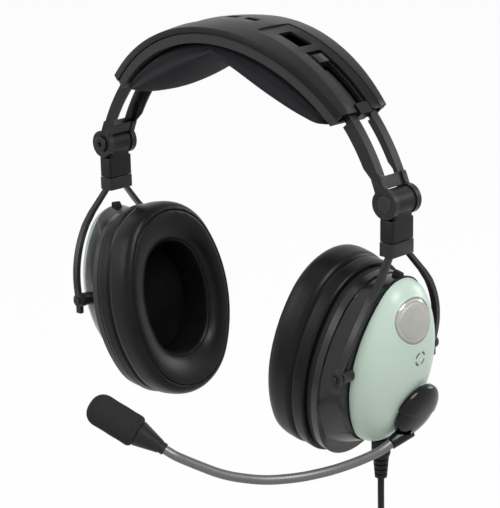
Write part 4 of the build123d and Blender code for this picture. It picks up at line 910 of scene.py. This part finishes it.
def makeMuff(m):
    # a foam sock turned about the microphone's line: flat sides, round nose, tucked-in mouth
    d = np.array(m["towards"], float)
    d = d / np.linalg.norm(d)
    side = np.cross(d, [0, 0, 1])
    side = side / np.linalg.norm(side)
    up = np.cross(side, d)
    around = np.linspace(0, 2 * np.pi, m["around"] + 1)[:-1]
    length, radius, front, rear = m["length"], m["radius"], m["frontRound"], m["backRound"]
    profile = list(m["mouth"])
    for q in np.linspace(0, math.pi / 2, 12):
        profile.append((radius - rear * (1 - math.sin(q)), rear * (1 - math.cos(q))))
    for z in np.linspace(rear, length - front, 24):
        profile.append((radius + m["ripple"] * math.sin(z * m["rippleRate"]), z))
    for q in np.linspace(np.pi / 2, 0, 28)[1:-1]:
        profile.append((radius - front * (1 - math.sin(q)), length - front * (1 - math.cos(q))))
    profile += [((radius - front) * k, length) for k in (1.0, 0.6, 0.2)]
    r, z = np.array(profile).T
    rows = np.array(m["start"]) + (m["from"] + z)[:, None, None] * d \
        + (r[:, None] * np.cos(around))[..., None] * side \
        + (r[:, None] * np.sin(around))[..., None] * up
    piece = gridPiece("windMuff", rows, firstPole=rows[0].mean(0), lastPole=rows[-1].mean(0))
    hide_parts("mic_muff")
    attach(piece, "boom")
    wear(piece, "muff")


makeMuff(windMuff)
print("microphone dressed")

# rigid nodes, left and right alike: these get edges rounded by so much, the rest their finish alone
edgeWidths = {"band_shell": 0.35, "pad_carrier": 0.3, "guide_clips": 0.3, "slider_arm": 0.3,
              "fold_cap": 0.15, "fold_screw": 0.15, "knuckle": 0.5, "stirrup": 0.5,
              "pivot_screws": 0.15, "seal_plate": 0.3, "cup_housing": 0.5, "crossover_boot": 0.3,
              "hub_seat": 0.3, "boom_ferrule": 0.3, "mic_clamp": 0.3, "boom_arm": 0.2}
slotOf = {s["node"]: s["material_slot"] for s in frame["record"]["subparts"]}
for node, piece in list(frame["nodes"].items()):
    kind = node.removesuffix("_left").removesuffix("_right")
    if kind in edgeWidths:
        wear(softEdged(node, edgeWidths[kind]), slotOf[node])
    else:
        piece.data.materials.clear()
        piece.data.materials.append(finishes[slotOf[node]])
print("rigid pieces finished")

# lamps: azimuth, elevation, distance, size and power
studio = {"floor": -392.0, "floorHalf": 4.0, "paper": 0.9, "glow": 0.965, "world": 0.12,
          "middle": (0, 0, -0.11),
          "lamps": {"keyLamp": (60, 52, 1.6, 1.0, 29.0), "fillLamp": (-42, 20, 1.7, 0.7, 6.0),
                    "rimLamp": (158, 16, 1.6, 0.8, 9.0)}}


def backdropRays(nodes, links):
    # 1 for the rays that show the backdrop: camera, glossy and transmission
    rays = nodes.new("ShaderNodeLightPath").outputs
    total = mathNode(nodes, links, "MAXIMUM", rays["Is Camera Ray"], rays["Is Glossy Ray"])
    return mathNode(nodes, links, "MAXIMUM", total, rays["Is Transmission Ray"])


def makeStage(s):
    # a large pale floor, seen as near white; the world is white to the rays that show the backdrop
    # and plain grey to the rest
    mesh = bpy.data.meshes.new("studioFloor")
    corners = [(x * s["floorHalf"], y * s["floorHalf"], s["floor"] * mm)
               for x, y in ((-1, -1), (1, -1), (1, 1), (-1, 1))]
    mesh.from_pydata(corners, [], [(0, 1, 2, 3)])
    floor = bpy.data.objects.new("studioFloor", mesh)
    scene.collection.objects.link(floor)
    material, nodes, links, paper = newMaterial("floorPaper")
    feed(links, paper.inputs["Base Color"], (s["paper"], s["paper"], s["paper"], 1))
    feed(links, paper.inputs["Roughness"], s["paper"])
    glow = nodes.new("ShaderNodeEmission")
    feed(links, glow.inputs["Color"], (1, 1, 1, 1))
    mix = nodes.new("ShaderNodeMixShader")
    share = mathNode(nodes, links, "MULTIPLY", backdropRays(nodes, links), s["glow"])
    feed(links, mix.inputs[0], share)
    feed(links, mix.inputs[1], paper.outputs[0])
    feed(links, mix.inputs[2], glow.outputs[0])
    feed(links, nodes["Material Output"].inputs["Surface"], mix.outputs[0])
    mesh.materials.append(material)
    world = bpy.data.worlds.new("studioWorld")
    scene.world = world
    world.use_nodes = True
    nodes, links = world.node_tree.nodes, world.node_tree.links
    sky = nodes["Background"]
    feed(links, sky.inputs["Color"], (1, 1, 1, 1))
    feed(links, sky.inputs["Strength"],
         rangeNode(nodes, links, backdropRays(nodes, links), s["world"], 1.0))


def softLamp(name, azimuth, elevation, away, size, power):
    # an area lamp on a sphere round the cups, facing them
    middle = Vector(studio["middle"])
    place = middle + Vector(sightLine(azimuth, elevation)) * away
    data = bpy.data.lights.new(name, "AREA")
    data.shape = "DISK"
    data.size = size
    data.energy = power
    lamp = bpy.data.objects.new(name, data)
    scene.collection.objects.link(lamp)
    lamp.location = place
    lamp.rotation_euler = (middle - place).to_track_quat("-Z", "Y").to_euler()


makeStage(studio)
for name, numbers in studio["lamps"].items():
    softLamp(name, *numbers)
scene.view_settings.view_transform = "Standard"
print("stage lit")
